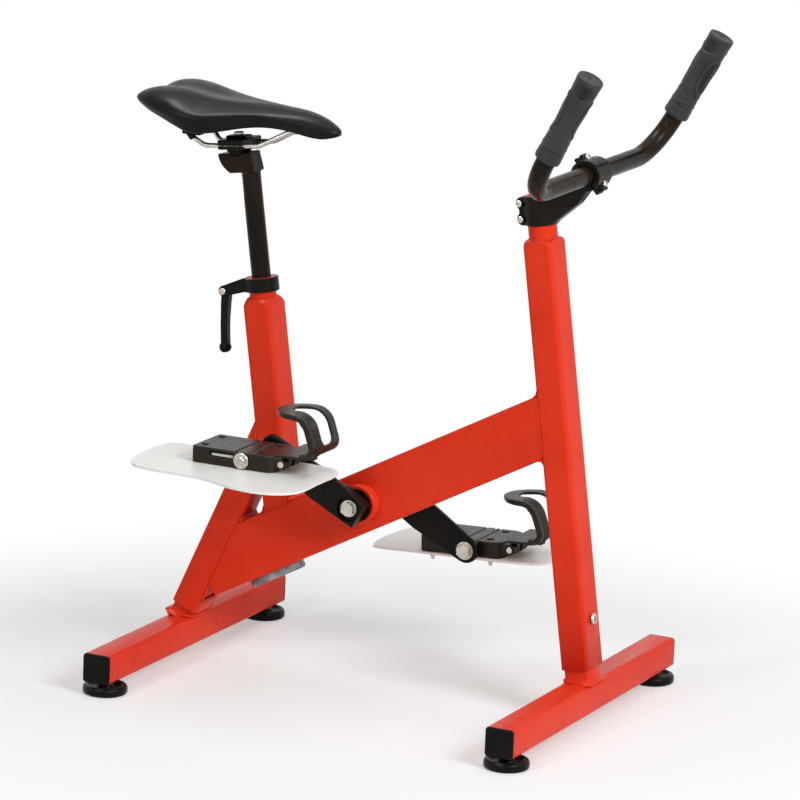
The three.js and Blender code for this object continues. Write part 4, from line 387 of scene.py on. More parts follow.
# %% Give every solid its finish
finish_of_ending = {
    red_coat: ("_base", "front_column", "rear_strut", "seat_tube", "main_beam", "bottom_bracket_shell"),
    anodised_black: ("stem", "stem_faceplate", "handlebar", "seat_post"),
    coated_black: ("_crank", "seat_collar", "collar_lever", "_clamp_lower", "_clamp_upper", "_bearing"),
    moulded_black: ("_end_cap", "_foot_pad", "saddle_shell"),
    pedal_black: ("_pedal_body", "_toe_cage"),
    grip_rubber: ("_grip",),
    milky_plate: ("_water_plate",),
    saddle_vinyl: ("saddle_cover",),
    cast_zinc: ("anode",),
    stainless: ("_bolt", "_stud", "_axle", "_axle_cap", "_pin", "saddle_rails"),
}


def finish_for(name):
    for finish, endings in finish_of_ending.items():
        if any(name == ending or (ending[0] == "_" and name.endswith(ending)) for ending in endings):
            return finish
    raise ValueError("no finish for " + name)


for name, solid in solids.items():
    solid.data.materials.clear()
    solid.data.materials.append(finish_for(name))
print("dressed:", len(solids), "solids in", len(finish_of_ending), "finishes")

# %% [markdown]
# ## Making pieces
# The fuller forms and the small hardware are new meshes. Each rides on the body that carries it,
# has a finish, and stands for a solid where it replaces one.

# %% Helpers for pieces


def shade(piece, smooth=True):
    piece.data.polygons.foreach_set("use_smooth", [smooth] * len(piece.data.polygons))
    return piece


def new_piece(name, mesh, smooth=True):
    return shade(into_scene(name, mesh), smooth)


def settle(piece, body, finish, replaced=()):
    """Gives a finished piece its finish, its body and the solids that it stands for."""
    piece.data.materials.clear()
    piece.data.materials.append(finish)
    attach(piece, body)
    if replaced:
        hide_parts(*replaced)
    return piece


def kept(shape, mesh):
    """Writes an edited shape into a mesh."""
    shape.to_mesh(mesh)
    shape.free()
    return mesh


def face_out(mesh):
    shape = bmesh.new()
    shape.from_mesh(mesh)
    bmesh.ops.recalc_face_normals(shape, faces=shape.faces)
    if shape.calc_volume(signed=True) < 0:
        bmesh.ops.reverse_faces(shape, faces=shape.faces)
    return kept(shape, mesh)


def turns(count):
    """Equal angles all round."""
    return [2 * math.pi * j / count for j in range(count)]


def ring_mesh(name, rings, joined_round=False):
    """Equal closed rings, joined one after the other. Each end gets a fan, or the two ends are joined."""
    points = [Vector(p) for ring in rings for p in ring]
    count = len(rings[0])
    faces = []
    for i in range(len(rings) if joined_round else len(rings) - 1):
        first = i * count
        second = ((i + 1) % len(rings)) * count
        for j in range(count):
            after = (j + 1) % count
            faces.append((first + j, first + after, second + after, second + j))
    if not joined_round:
        for start, turn in ((0, -1), ((len(rings) - 1) * count, 1)):
            points.append(sum(points[start : start + count], Vector()) / count)
            for j in range(count):
                pair = (start + j, start + (j + 1) % count)[::turn]
                faces.append((*pair, len(points) - 1))
    return face_out(plain_mesh(name, points, faces))


def turned_mesh(name, profile, sides, place, axis=(0, 0, 1)):
    """A turned form from radius and height pairs that start and end on the axis."""
    turn = Vector((0, 0, 1)).rotation_difference(Vector(axis)).to_matrix()
    rings = []
    for radius, height in profile[1:-1]:
        ring = [Vector((radius * math.cos(a), radius * math.sin(a), height)) for a in turns(sides)]
        rings.append([turn @ p + Vector(place) for p in ring])
    return ring_mesh(name, rings)


def merged_copy(name):
    """A copy of a solid's mesh with its loose triangles joined up, and its quads put together again."""
    mesh = solids[name].data.copy()
    shape = bmesh.new()
    shape.from_mesh(mesh)
    bmesh.ops.remove_doubles(shape, verts=shape.verts, dist=1e-5)
    limits = {"angle_face_threshold": math.radians(40), "angle_shape_threshold": math.radians(75)}
    bmesh.ops.join_triangles(shape, faces=shape.faces, **limits)
    return kept(shape, mesh)


def joined_mesh(name, meshes):
    shape = bmesh.new()
    for mesh in meshes:
        shape.from_mesh(mesh)
    return kept(shape, bpy.data.meshes.new(name))


def add_modifier(piece, name, kind, **settings):
    modifier = piece.modifiers.new(name, kind)
    for setting, value in settings.items():
        setattr(modifier, setting, value)
    return modifier


def apply_modifiers(piece):
    """Turns a piece with its modifiers into a plain mesh."""
    graph = bpy.context.evaluated_depsgraph_get()
    plain = bpy.data.meshes.new_from_object(piece.evaluated_get(graph), depsgraph=graph)
    piece.modifiers.clear()
    piece.data = plain
    return piece


def subdivided(piece, levels):
    add_modifier(piece, "rounder", "SUBSURF", levels=levels, render_levels=levels)
    return apply_modifiers(piece)


def swelled(piece, amount_at):
    """Moves every point of a piece along its normal. amount_at gives how far, from the point's place."""
    normals = [vertex.normal.copy() for vertex in piece.data.vertices]
    for vertex, normal in zip(piece.data.vertices, normals):
        vertex.co += normal * amount_at(vertex.co)
    return piece


# %% [markdown]
# ### Round shading on the solids
# A turned part leaves the lathe smooth, but its solid is a prism with a dozen or more sides.
# The mesh has to stay as it is, so a small node tree joins its loose triangles on the fly
# and shades across every edge that bends less than a set angle. Real corners stay sharp.

# %% Node tree for round shading


def new_tree(name, sizes):
    """An empty Geometry Nodes tree, with a geometry in and out and a named input for each size."""
    tree = bpy.data.node_groups.new(name, "GeometryNodeTree")
    for way in ("OUTPUT", "INPUT"):
        tree.interface.new_socket("Geometry", in_out=way, socket_type="NodeSocketGeometry")
    sockets = {}
    for label, kind, value in sizes:
        socket = tree.interface.new_socket(label, in_out="INPUT", socket_type="NodeSocket" + kind)
        socket.default_value = value
        sockets[label] = socket.identifier
    return tree, sockets, tree.nodes.new("NodeGroupInput"), tree.nodes.new("NodeGroupOutput")


rounding, _, start, end = new_tree("round_shading", [("Corner Angle", "Float", math.radians(38))])
merge = add_node(rounding, "GeometryNodeMergeByDistance", Distance=1e-5)
smooth = add_node(rounding, "GeometryNodeSetShadeSmooth", domain="FACE", Shade_Smooth=True)
mark = add_node(rounding, "GeometryNodeSetShadeSmooth", domain="EDGE", Shade_Smooth=False)
chain(rounding, start, merge, smooth, mark, end)
angle = add_node(rounding, "GeometryNodeInputMeshEdgeAngle")
sharp = add_node(rounding, "FunctionNodeCompare", data_type="FLOAT", operation="GREATER_THAN")
link(rounding, angle.outputs["Unsigned Angle"], sharp.inputs[0])
link(rounding, start.outputs["Corner Angle"], sharp.inputs[1])
link(rounding, sharp.outputs["Result"], mark.inputs["Selection"])

for solid in solids.values():
    add_modifier(solid, "round_shading", "NODES", node_group=rounding)
print("round shading on", len(solids), "solids")

# %% [markdown]
# ## The saddle
# A saddle is a shaped foam pad on a plastic tub, under a coated cloth that is stretched over it
# and glued below.
# It could be sculpted by hand, but its solid already has the right lines, only with flat faces.
# So the solid's mesh is used as a cage: subdivision rounds it, and then cloth under a little pressure
# swells it the way foam does, with the lower edge held where the cover is glued.

# %% Saddle cover piece
saddle = subdivided(new_piece("saddle_upholstery", merged_copy("saddle_cover")), 1)
low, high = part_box("saddle_cover")
end_reach = {low.x: 26 * MM, high.x: 16 * MM}  # how far the padding rounds off the tail and the nose


def end_share(point):
    """1 at the tail and at the nose, and 0 on the rest of the saddle."""
    share = max(1 - abs(point.x - x) / reach for x, reach in end_reach.items())
    return max(0.0, min(1.0, share * 1.6))


def add_group(name, weight_at):
    """A vertex group of the saddle. weight_at gives the weight of a vertex."""
    group = saddle.vertex_groups.new(name=name)
    for vertex in saddle.data.vertices:
        weight = weight_at(vertex)
        if weight > 0:
            group.add([vertex.index], weight, "REPLACE")


add_group("ends", lambda vertex: end_share(vertex.co))
add_modifier(saddle, "wear", "SMOOTH", vertex_group="ends", factor=0.5, iterations=45)
apply_modifiers(saddle)
regain = 1.8 * MM  # the smoothing draws the ends in, and the padding fills them out again
swelled(saddle, lambda point: regain * end_share(point))
print("saddle faces before the cloth:", len(saddle.data.polygons))

# %% Cloth on the saddle
swell_cap = 2.5 * MM  # foam under a stretched cover hardly moves


def glued_share(vertex):
    """1 where the cover is glued under the tub, 0 on the pad."""
    down = -vertex.normal.z
    return 1.0 if down > 0.2 else max(0.0, min(1.0, (0.15 + down) / 0.35))


rest = [vertex.co.copy() for vertex in saddle.data.vertices]
add_group("glued", glued_share)
cloth = add_modifier(saddle, "foam", "CLOTH").settings
cloth.vertex_group_mass = "glued"
cloth.use_pressure = True
cloth.uniform_pressure_force = 4.0
cloth.effector_weights.gravity = 0.0
cloth.tension_stiffness = 25
cloth.bending_stiffness = 4
for step in range(1, 21):
    bpy.context.scene.frame_set(step)
apply_modifiers(saddle)
bpy.context.scene.frame_set(1)
moved = 0.0
for vertex, before in zip(saddle.data.vertices, rest):
    shift = vertex.co - before
    if shift.length > swell_cap:
        shift = shift.normalized() * swell_cap
    vertex.co = before + shift
    moved = max(moved, shift.length)
print("cloth moved the cover by up to mm:", round(moved / MM, 2))

# %% Finish the saddle
shade(subdivided(saddle, 1))
settle(saddle, "saddle", saddle_vinyl, ["saddle_cover"])
print("saddle faces:", len(saddle.data.polygons))

# %% [markdown]
# ## The bar
# The bar is one drawn tube, bent twice. Its solid has sixteen sides, which show on a glossy tube.
# A curve with a bevel would make a finer one, but its bends would need handles set by hand.
# Here the corners of the path are rounded by true arcs, and a ring is carried along it.

# %% Bar


def round_corner(corner, first_way, second_way, radius, steps):
    """The points of an arc in a corner. The two ways run from the corner along its two sides."""
    half = first_way.angle(second_way) / 2
    middle = corner + (first_way + second_way).normalized() * radius / math.sin(half)
    start_ray = corner + first_way * radius / math.tan(half) - middle
    end_ray = corner + second_way * radius / math.tan(half) - middle
    hinge = start_ray.cross(end_ray).normalized()
    bend = start_ray.angle(end_ray)
    return [middle + Quaternion(hinge, bend * i / steps) @ start_ray for i in range(steps + 1)]


def bent_path(corners, radii, steps):
    """The corner points of a bent tube, with each inner corner turned into an arc."""
    path = [corners[0]]
    for before, corner, after, radius in zip(corners, corners[1:], corners[2:], radii):
        arrive, leave = (before - corner).normalized(), (after - corner).normalized()
        path += round_corner(corner, arrive, leave, radius, steps)
    return path + [corners[-1]]


def tube_rings(path, radius_at, sides):
    """Rings across a path, carried along it without twisting. radius_at gives the radius at a length."""
    ahead = (path[1] - path[0]).normalized()
    aside = ahead.orthogonal().normalized()
    rings = []
    length = 0.0
    for i, point in enumerate(path):
        before = path[max(i - 1, 0)]
        after = path[min(i + 1, len(path) - 1)]
        length += (point - before).length
        direction = (after - before).normalized()
        aside = (ahead.rotation_difference(direction).to_matrix() @ aside).normalized()
        ahead = direction
        above = ahead.cross(aside)
        radius = radius_at(length)
        rings.append([point + (aside * math.cos(a) + above * math.sin(a)) * radius for a in turns(sides)])
    return rings


bar_middle = Vector(joints["handlebar_tilt"]["pos_m"])
bar_radius = 12.7 * MM
bar_bend = 61 * MM
grip_tops = {side: bar_middle + Vector((0.0845, side * 0.212, 0.160)) for side in (-1, 1)}
bar_corners = {side: bar_middle + Vector((0, side * 0.202, 0)) for side in (-1, 1)}
bar_path = bent_path([grip_tops[-1], bar_corners[-1], bar_corners[1], grip_tops[1]], [bar_bend, bar_bend], 28)
bar = new_piece("bar_tube", ring_mesh("bar_tube", tube_rings(bar_path, lambda length: bar_radius, 48)))
settle(bar, "handlebar", anodised_black, ["handlebar"])
print("bar length in mm:", round(sum((b - a).length for a, b in zip(bar_path, bar_path[1:])) / MM))

# %% [markdown]
# ## The grips
# Each grip is a moulded rubber sleeve. It flares into a lip at its foot, narrows to a waist,
# and has a raised scoop under its top and a long oval pad with ridges on each side.
# Carving this by hand would be slow, so the radius is worked out at every point of a fine sleeve.

# %% Grip form
grip_length = 124.0  # in mm, as all sizes of the grip
grip_overhang = 3
grip_turn = math.radians(22)  # how far the scoops look ahead of straight sideways
grip_profile = [  # share of the length from the top down, radius
    (0.0, 16.9), (0.012, 17.4), (0.05, 17.4), (0.09, 17.0), (0.2, 16.6), (0.36, 16.7), (0.55, 15.6),
    (0.7, 15.8), (0.85, 16.6), (0.93, 17.1), (0.975, 17.4), (1.0, 16.8),
]


def between(table, value):
    """The eased value between two rows of a table."""
    for (a, first), (b, second) in zip(table, table[1:]):
        if value <= b:
            share = (value - a) / (b - a)
            return first + (second - first) * share * share * (3 - 2 * share)
    return table[-1][1]


def bump(value, middle, half_width):
    """1 in the middle and 0 from half_width on, with a round top."""
    share = abs(value - middle) / half_width
    return 0.0 if share >= 1 else (1 - share * share) ** 2


def grip_relief(down, turn):
    """How far the rubber stands out in mm, at a length in mm from the top and an angle round the grip."""
    side = abs(math.atan2(math.sin(turn), math.cos(turn)))  # 0 at the front, pi behind
    rise = 0.0
    # The scoop: a curved ridge that hangs from the rim, in front and behind.
    for middle in (0.0, math.pi):
        away = abs(side - middle)
        edge = 27 - 11 * away**2
        rise += 0.8 * bump(down, edge, 1.6) * (away < 1.0)
        rise -= 0.8 * (7 < down < edge) * max(0.0, 1 - away / 1.05)
    # The oval pads on both sides: a ridge round a sunk floor, with three ridges in it.
    across = (side - math.pi / 2) / 0.72
    oval = math.hypot(across, (down - 56) / 27)
    rise += 0.9 * bump(oval, 1.0, 0.16) - 0.5 * bump(oval, 1.22, 0.12)
    if oval < 0.93:
        rise -= 1.1 * min(1.0, (0.93 - oval) / 0.12)
        rise += max(0.0, math.cos(math.pi * across * 2.6)) ** 4 * min(1.0, (0.93 - oval) / 0.2)
    # Two folds above the lip.
    wave = 2.2 * math.sin(2 * turn)
    rise += 0.6 * bump(down, 90 + wave, 2.0) + 0.6 * bump(down, 102 - wave, 1.8)
    return rise - 0.7 * bump(down, 107, 1.6)


def grip_rings(side):
    """The rings of a grip from its top to its foot, and at every point how deep it lies in a groove, which
    sets its painted shade.
    """
    top = grip_tops[side]
    up_axis = (top - bar_corners[side]).normalized()
    outward = Vector((math.sin(grip_turn), side * math.cos(grip_turn), 0))
    front = (outward - up_axis * up_axis.dot(outward)).normalized()
    cross = up_axis.cross(front)
    sides, steps = 144, 150
    rings, shade_per_point = [], []

    def ring(down, radii, shade_depths=(0.0,) * sides):
        middle = top + up_axis * (grip_overhang - down) * MM
        rays = [front * math.cos(a) + cross * math.sin(a) for a in turns(sides)]
        rings.append([middle + ray * radius * MM for ray, radius in zip(rays, radii)])
        shade_per_point.extend(shade_depths)

    # The end face: a hole in the middle, a shallow dish and a rim.
    end_face = ((2.6, 2.6), (3.0, 0.9), (11.5, 0.7), (12.6, 0.1), (13.4, 0.5), (14.2, 0.1), (15.6, 0.0))
    for radius, down in end_face:
        ring(down, [radius] * sides)
    for i in range(steps + 1):
        down = i / steps * grip_length
        plain = between(grip_profile, i / steps)
        fade = min(1.0, down / 6, (grip_length - down) / 6)
        rises = [fade * grip_relief(down, a) for a in turns(sides)]
        # How far a point lies below the plain sleeve also sets how much painted shade the rubber gets there.
        ring(down, [plain + rise for rise in rises], [max(0.0, min(1.0, -rise * 1.3)) for rise in rises])
    bore = bar_radius / MM + 0.4
    for radius, down in ((15.4, grip_length), (bore, grip_length - 0.4), (bore, grip_length - 6)):
        ring(down, [radius] * sides)
    return rings, shade_per_point


for name, side in (("right", -1), ("left", 1)):
    rings, shade_per_point = grip_rings(side)
    grip = new_piece(name + "_grip_sleeve", ring_mesh(name + "_grip_sleeve", rings))
    # The painted shade of the grooves is kept on the mesh for the rubber's finish.
    shade_depths = grip.data.attributes.new("groove", "FLOAT", "POINT")
    shade_depths.data.foreach_set("value", shade_per_point + [1.0, 0.0])
    settle(grip, "handlebar", grip_rubber, [name + "_grip"])
print("grip faces:", len(grip.data.polygons))

# %% [markdown]
# ## Cast and forged pieces
# Stem, clamps, cranks, pedals and toe cages leave a mould or a forging die, so none of their edges is sharp,
# and where two walls meet inside there is always a fillet. A bevel needs clean edges to work on,
# which solids cut by other solids don't have. A voxel remesh and a few rounds of smoothing
# do it whatever the mesh: outer edges wear down and inner corners fill up, as in a casting.

# %% Rims and ridges of the toe cages
# The cage is a bent band with a rolled rim along its whole edge. The rim is thickest on the right upright,
# and three ridges stiffen the wide face in front.
pedals = {  # place of the pedal's axle, its pitch in degrees, its side of the bike
    "right": (Vector(joints["right_pedal_spin"]["pos_m"]), 0.0, -1),
    "left": (Vector(joints["left_pedal_spin"]["pos_m"]), 2.5, 1),
}
cage_edges = {"right": (-153 * MM, -77 * MM), "left": (77 * MM, 153 * MM)}
strong_rim, slim_rim = 4.0 * MM, 2.7 * MM
ridge = 1.5 * MM


def on_pedal(name, ahead_by, across, above_by):
    """A place in mm ahead of and above a pedal's axle and in metres across the bike, turned with the pedal."""
    axle, pitch, _ = pedals[name]
    angle = math.radians(pitch)
    ahead = Vector((math.cos(angle), 0, math.sin(angle)))
    above = Vector((-math.sin(angle), 0, math.cos(angle)))
    return Vector((axle.x, across, axle.z)) + ahead * ahead_by * MM + above * above_by * MM


def cage_rim(name):
    near, far = cage_edges[name]
    inset = strong_rim * 0.95
    rise = [(84, 16.2), (105.9, 16.2), (88.4, 67.8), (73, 67.8)]
    bends = [11.8 * MM, 23.8 * MM]
    path = bent_path([on_pedal(name, x, near + inset, z) for x, z in rise], bends, 10)
    middle, radius = (near + far) / 2, 38 - inset / MM
    for i in range(1, 24):
        turn = math.pi * i / 24
        path.append(on_pedal(name, 73 - radius * math.sin(turn), middle - radius * MM * math.cos(turn), 67.8))
    path += bent_path([on_pedal(name, x, far - inset, z) for x, z in rise[::-1]], bends[::-1], 10)

    def rim_radius(length):
        slimmer = max(0.0, min(1.0, (length - 80 * MM) / (60 * MM)))
        return strong_rim + (slim_rim - strong_rim) * slimmer

    return ring_mesh("rim", tube_rings(path, rim_radius, 20))


def cage_ridge(name, across_by):
    across = cage_edges[name][0] + across_by * MM
    rise = [(100, 12.6), (110.6, 12.6), (91.6, 71.4), (78, 71.4)]
    path = bent_path([on_pedal(name, x, across, z) for x, z in rise], [15 * MM, 27 * MM], 10)
    return ring_mesh("ridge", tube_rings(path, lambda length: ridge, 12))


print("rim radius in mm:", round(strong_rim / MM, 1), "to", round(slim_rim / MM, 1))

# %% Castings


def softened(solid_name, voxel, rounds, finish, extras):
    """A smooth-edged piece that stands for a solid, with any extra meshes melted into it."""
    name = solid_name + "_casting"
    piece = new_piece(name, joined_mesh(name, [merged_copy(solid_name), *extras]))
    add_modifier(piece, "skin", "REMESH", mode="VOXEL", voxel_size=voxel * MM, use_smooth_shade=True)
    add_modifier(piece, "wear", "SMOOTH", factor=0.5, iterations=rounds)
    shade(apply_modifiers(piece))
    return settle(piece, solids[solid_name]["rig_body"], finish, [solid_name])


def ball(middle, radii):
    """A ball-like body with its own radius along each axis."""
    shape = bmesh.new()
    bmesh.ops.create_uvsphere(shape, u_segments=40, v_segments=20, radius=1)
    for vertex in shape.verts:
        vertex.co = Vector([m + r * c for m, r, c in zip(middle, radii, vertex.co)])
    return kept(shape, bpy.data.meshes.new("ball"))


lever_low, lever_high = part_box("collar_lever")
bulb_middle = ((lever_low.x + lever_high.x) / 2, 0, lever_low.z + 7 * MM)
melted_in = {"collar_lever": [ball(bulb_middle, (8.4 * MM, 8.8 * MM, 7.6 * MM))]}
for name in pedals:
    ridges = [cage_ridge(name, across_by) for across_by in (11.5, 17, 22.5)]
    melted_in[name + "_toe_cage"] = [cage_rim(name), *ridges]

cast_pieces = (  # solids, voxel in mm, rounds of smoothing, finish, slot
    (["stem"], 1.0, 10, coated_black, "black_metal"),
    (["seat_post"], 1.0, 12, anodised_black, "black_tube"),
    (["stem_faceplate", "seat_collar"], 0.9, 5, coated_black, "black_metal"),
    (["collar_lever"], 0.8, 6, coated_black, "black_metal"),
    (["rail_clamp_lower", "rail_clamp_upper"], 0.9, 12, coated_black, "black_metal"),
    (["right_crank", "left_crank"], 1.1, 5, coated_black, "black_metal"),
    (["right_pedal_body", "left_pedal_body"], 0.8, 3, pedal_black, "pedal_plastic"),
    (["right_toe_cage", "left_toe_cage"], 0.7, 4, pedal_black, "pedal_plastic"),
)
for names, voxel, rounds, finish, slot in cast_pieces:
    for name in names:
        cast = softened(name, voxel, rounds, finish, melted_in.get(name, ()))
        print(name, "faces:", len(cast.data.polygons))

# %% [markdown]
# ## The feet
# Each foot is a turned rubber pad with a rounded edge, a recess, and a collar that takes the levelling stud.
# A turned form is a line carried round an axis, so its outline is given once and all four are made from it.

# %% Foot pads
pad_line = [  # radius and height in mm, from the sole's middle round to the stud's socket
    (0, 0.2), (24.0, 0.2), (26.6, 0.0), (28.6, 0.9), (29.8, 2.6), (30.0, 5.0), (30.0, 8.2), (29.4, 10.2),
    (28.0, 11.8), (26.0, 12.5), (24.2, 12.5), (23.4, 12.1), (22.4, 10.4), (20.6, 9.3), (17.0, 9.0),
    (16.2, 9.6), (15.4, 9.0), (12.6, 9.0), (11.8, 9.8), (11.2, 11.8), (10.2, 12.5), (5.6, 12.5), (5.4, 12.2),
    (5.4, 6.6), (0, 6.6),
]
for name in ("rear_right", "rear_left", "front_right", "front_left"):
    low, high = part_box(name + "_foot_pad")
    place = ((low.x + high.x) / 2, (low.y + high.y) / 2, low.z)
    line = [(r * MM, h * MM) for r, h in pad_line]
    pad = new_piece(name + "_pad_rubber", turned_mesh(name + "_pad_rubber", line, 96, place))
    settle(pad, name + "_foot", moulded_black, [name + "_foot_pad"])
print("pad faces:", len(pad.data.polygons))

# %% [markdown]
# ## The saddle's rails
# The rails are one steel rod, bent. Its solid has eight sides. Subdivision makes it round, but it also
# draws the surface in by a tenth, because it rounds off the corners. So every point is moved back out.

# %% Rails
rails = subdivided(new_piece("saddle_rail_rod", merged_copy("saddle_rails")), 2)
regain = 3.5 * MM * (1 - (2 + math.cos(math.pi / 4)) / 3)
shade(swelled(rails, lambda point: regain))
settle(rails, "saddle", stainless, ["saddle_rails"])
print("rails drawn back out by mm:", round(regain / MM, 2))

# %% [markdown]
# ## The necks of the two uprights
# Where an upright passes into its round neck, the tube has been turned down like a sharpened pencil:
# the cone bites into the corners first, so each flat side ends in an arch. The solid only joins the two
# shapes with flat faces. A thin skin gives the true form: at every angle the smaller of the two radii.

# %% Necks
lean = math.radians(8.5)
upright_up = Vector((-math.sin(lean), 0, math.cos(lean)))
upright_out = Vector((math.cos(lean), 0, math.sin(lean)))
sideways = Vector((0, 1, 0))
neck_length, neck_step = 14 * MM, 2 * MM  # the cone, and the small step above it
skin_lift, skin_wall = 0.15 * MM, 0.8 * MM
far_out = 60 * MM  # where the rays that look for the solid start


def square_reach(turn, half_x, half_y, corner):
    """How far a rounded rectangle reaches in a direction."""
    c, s = abs(math.cos(turn)), abs(math.sin(turn))
    inner_x, inner_y = half_x - corner, half_y - corner
    if c * half_x > 0 and half_x * s <= inner_y * c:
        return half_x / c
    if half_y * c <= inner_x * s:
        return half_y / s
    along = inner_x * c + inner_y * s
    return along + math.sqrt(max(0.0, along * along - inner_x**2 - inner_y**2 + corner**2))


def tube_reach(turn):
    return square_reach(turn, 20 * MM, 25 * MM, 5 * MM)


def neck_skin(name, tube, origin, low_end, cut_up, shoulder, top, rim, neck, power):
    """A skin over a solid tube that ends below at low_end, cut along the plane that cut_up stands on.
    shoulder and top are heights along the lean; rim and neck are radii."""
    mesh = solids[tube].data
    solid_tree = BVHTree.FromPolygons([v.co for v in mesh.vertices], [p.vertices[:] for p in mesh.polygons])
    done = neck_length + neck_step
    levels = [i / 8 - 1 for i in range(8)]  # below the shoulder, as a share of the way down
    levels += [neck_length * i / 40 for i in range(41)]
    levels += [neck_length + neck_step * i / 6 for i in range(1, 7)]
    levels += [done + (top - shoulder - done) * i / 3 for i in (1, 2, 3)]
    corner_reach = tube_reach(math.atan2(20, 15)) + 1 * MM
    sharp = 6.0 / MM
    outside = []
    for level in levels:
        rise = max(0.0, level)
        share = min(1.0, rise / neck_length)
        cone = rim + (corner_reach - rim) * (1 - share**power) ** (1 / power)
        past = (rise - neck_length) / neck_step
        if past > 0:
            cone = neck + (rim - neck) * max(0.0, 1 - past) ** 2
        ring = []
        for turn in turns(128):
            square = tube_reach(turn)
            reach, height = square, shoulder + rise
            if level < 0:
                ahead_by = upright_out * (square * math.cos(turn))
                low = low_end - ahead_by.dot(cut_up) / upright_up.dot(cut_up) + 0.2 * MM
                height = shoulder + (shoulder - low) * level
            else:
                blend = -math.log(math.exp(-sharp * square) + math.exp(-sharp * cone)) / sharp
                reach = min(square, cone, blend)
                ray = upright_out * math.cos(turn) + sideways * math.sin(turn)
                hit = solid_tree.ray_cast(origin + upright_up * height + ray * far_out, -ray)
                if hit[0] is not None:
                    reach = max(reach, far_out - hit[3])
            ring.append((turn, reach + skin_lift, height))
        outside.append(ring)
    inside = []
    for ring in reversed(outside):
        inside.append([(turn, reach - skin_wall, height) for turn, reach, height in ring])
    rings = []
    for ring in outside + inside:
        rays = [(upright_out * math.cos(a) + sideways * math.sin(a)) * r + upright_up * h for a, r, h in ring]
        rings.append([origin + ray for ray in rays])
    skin = new_piece(name, ring_mesh(name, rings, joined_round=True))
    return settle(skin, "frame", red_coat)


column_foot = Vector((0.30038, 0, 0.0385))
seat_tube_foot = Vector((-0.15602, 0, 0.23426))
column_end = min((v.co - column_foot).dot(upright_up) for v in solids["front_column"].data.vertices)
beam_up = Vector((-0.4772, 0, 0.8788))  # the seat tube stands on the sloping top of the beam
for name, tube, foot, low_end, cut_up, shoulder_height, top_height, rim, neck, power in (
    ("column_neck", "front_column", column_foot, column_end, upright_up, 0.631, 0.7018, 20.5, 19.0, 1.9),
    ("seat_tube_neck", "seat_tube", seat_tube_foot, 0.0, beam_up, 0.501, 0.5408, 20.0, 18.0, 1.25),
):
    shoulder = (shoulder_height - foot.z) / upright_up.z
    top = (top_height - foot.z) / upright_up.z
    neck_skin(name, tube, foot, low_end, cut_up, shoulder, top, rim * MM, neck * MM, power)
print("necks turned")

# %% [markdown]
# ## Welds
# The frame is welded from cut tubes. A weld is a row of small ripples, one for each dip of the filler rod.
# Placing ripples by hand along every joint would never be even. In the node tree a path is turned
# into a curve, cut into equal steps, and given one round drop of metal per step, partly sunk in the wall.

# %% Node tree for rows of drops
rows, row_inputs, start, end = new_tree(
    "row_of_drops", [("Step", "Float", 0.002), ("Radius", "Float", 0.002), ("Finish", "Material", None)]
)
line = add_node(rows, "GeometryNodeMeshToCurve")
steps = add_node(rows, "GeometryNodeCurveToPoints", mode="LENGTH")
drop = add_node(rows, "GeometryNodeMeshIcoSphere", Subdivisions=3)
place = add_node(rows, "GeometryNodeInstanceOnPoints")
real = add_node(rows, "GeometryNodeRealizeInstances")
round_off = add_node(rows, "GeometryNodeSetShadeSmooth")
dress = add_node(rows, "GeometryNodeSetMaterial")
chain(rows, start, line, steps, place, real, round_off, dress, end)
link(rows, drop.outputs["Mesh"], place.inputs["Instance"])
link(rows, start.outputs["Step"], steps.inputs["Length"])
link(rows, start.outputs["Radius"], drop.inputs["Radius"])
link(rows, start.outputs["Finish"], dress.inputs["Material"])


def line_mesh(name, lines):
    """A mesh of edges alone. A line that comes back to its first point is closed."""
    points, edges = [], []
    for line_points in lines:
        closed = (line_points[0] - line_points[-1]).length < 1e-7
        own = line_points[:-1] if closed else line_points
        first = len(points)
        points += own
        edges += [(first + i, first + i + 1) for i in range(len(own) - 1)]
        if closed:
            edges.append((first + len(own) - 1, first))
    return plain_mesh(name, points, edges=edges)


def grown(name, mesh, tree, inputs, values):
    """Runs a node tree on a mesh and keeps the plain result."""
    piece = into_scene(name, mesh)
    modifier = add_modifier(piece, "grow", "NODES", node_group=tree)
    for label, value in values.items():
        modifier[inputs[label]] = value
    return apply_modifiers(piece)


# %% Where the tubes meet


class Tube:
    """A straight tube of the frame: a point on its middle line, the way it runs, and half its depth."""

    def __init__(self, origin, ahead, half_depth):
        self.origin = Vector(origin)
        self.ahead = Vector(ahead).normalized()
        self.out = Vector((self.ahead.z, 0, -self.ahead.x))
        self.half = half_depth


def crossing(tube, side, other, other_side):
    """Where a face of one tube meets a face of another, in the machine's middle plane."""
    point = tube.origin + tube.out * side * tube.half
    other_point = other.origin + other.out * other_side * other.half
    normal = other.out * other_side
    return point + tube.ahead * ((other_point - point).dot(normal) / tube.ahead.dot(normal))


column = Tube(column_foot, (-0.1478, 0, 0.9890), 20 * MM)
strut = Tube((-0.29762, 0, 0.0585), (0.4003, 0, 0.9164), 20 * MM)
seat_tube = Tube(seat_tube_foot, (-0.1478, 0, 0.9890), 20 * MM)
beam = Tube((-0.02662, 0, 0.259), (0.8788, 0, 0.4772), 40 * MM)
ABOVE, BELOW, FRONT, BACK = -1, 1, 1, -1
joint_lines = {
    "column and beam": [crossing(column, BACK, beam, end) for end in (BELOW, ABOVE)],
    "strut and beam": [crossing(strut, FRONT, beam, end) for end in (BELOW, ABOVE)],
    "seat tube and beam": [crossing(beam, ABOVE, seat_tube, end) for end in (BACK, FRONT)],
    "strut and seat tube": [crossing(seat_tube, BACK, strut, end) for end in (FRONT, BACK)],
}
for name, (first, last) in joint_lines.items():
    print(name, "weld in mm:", round((last - first).length / MM))

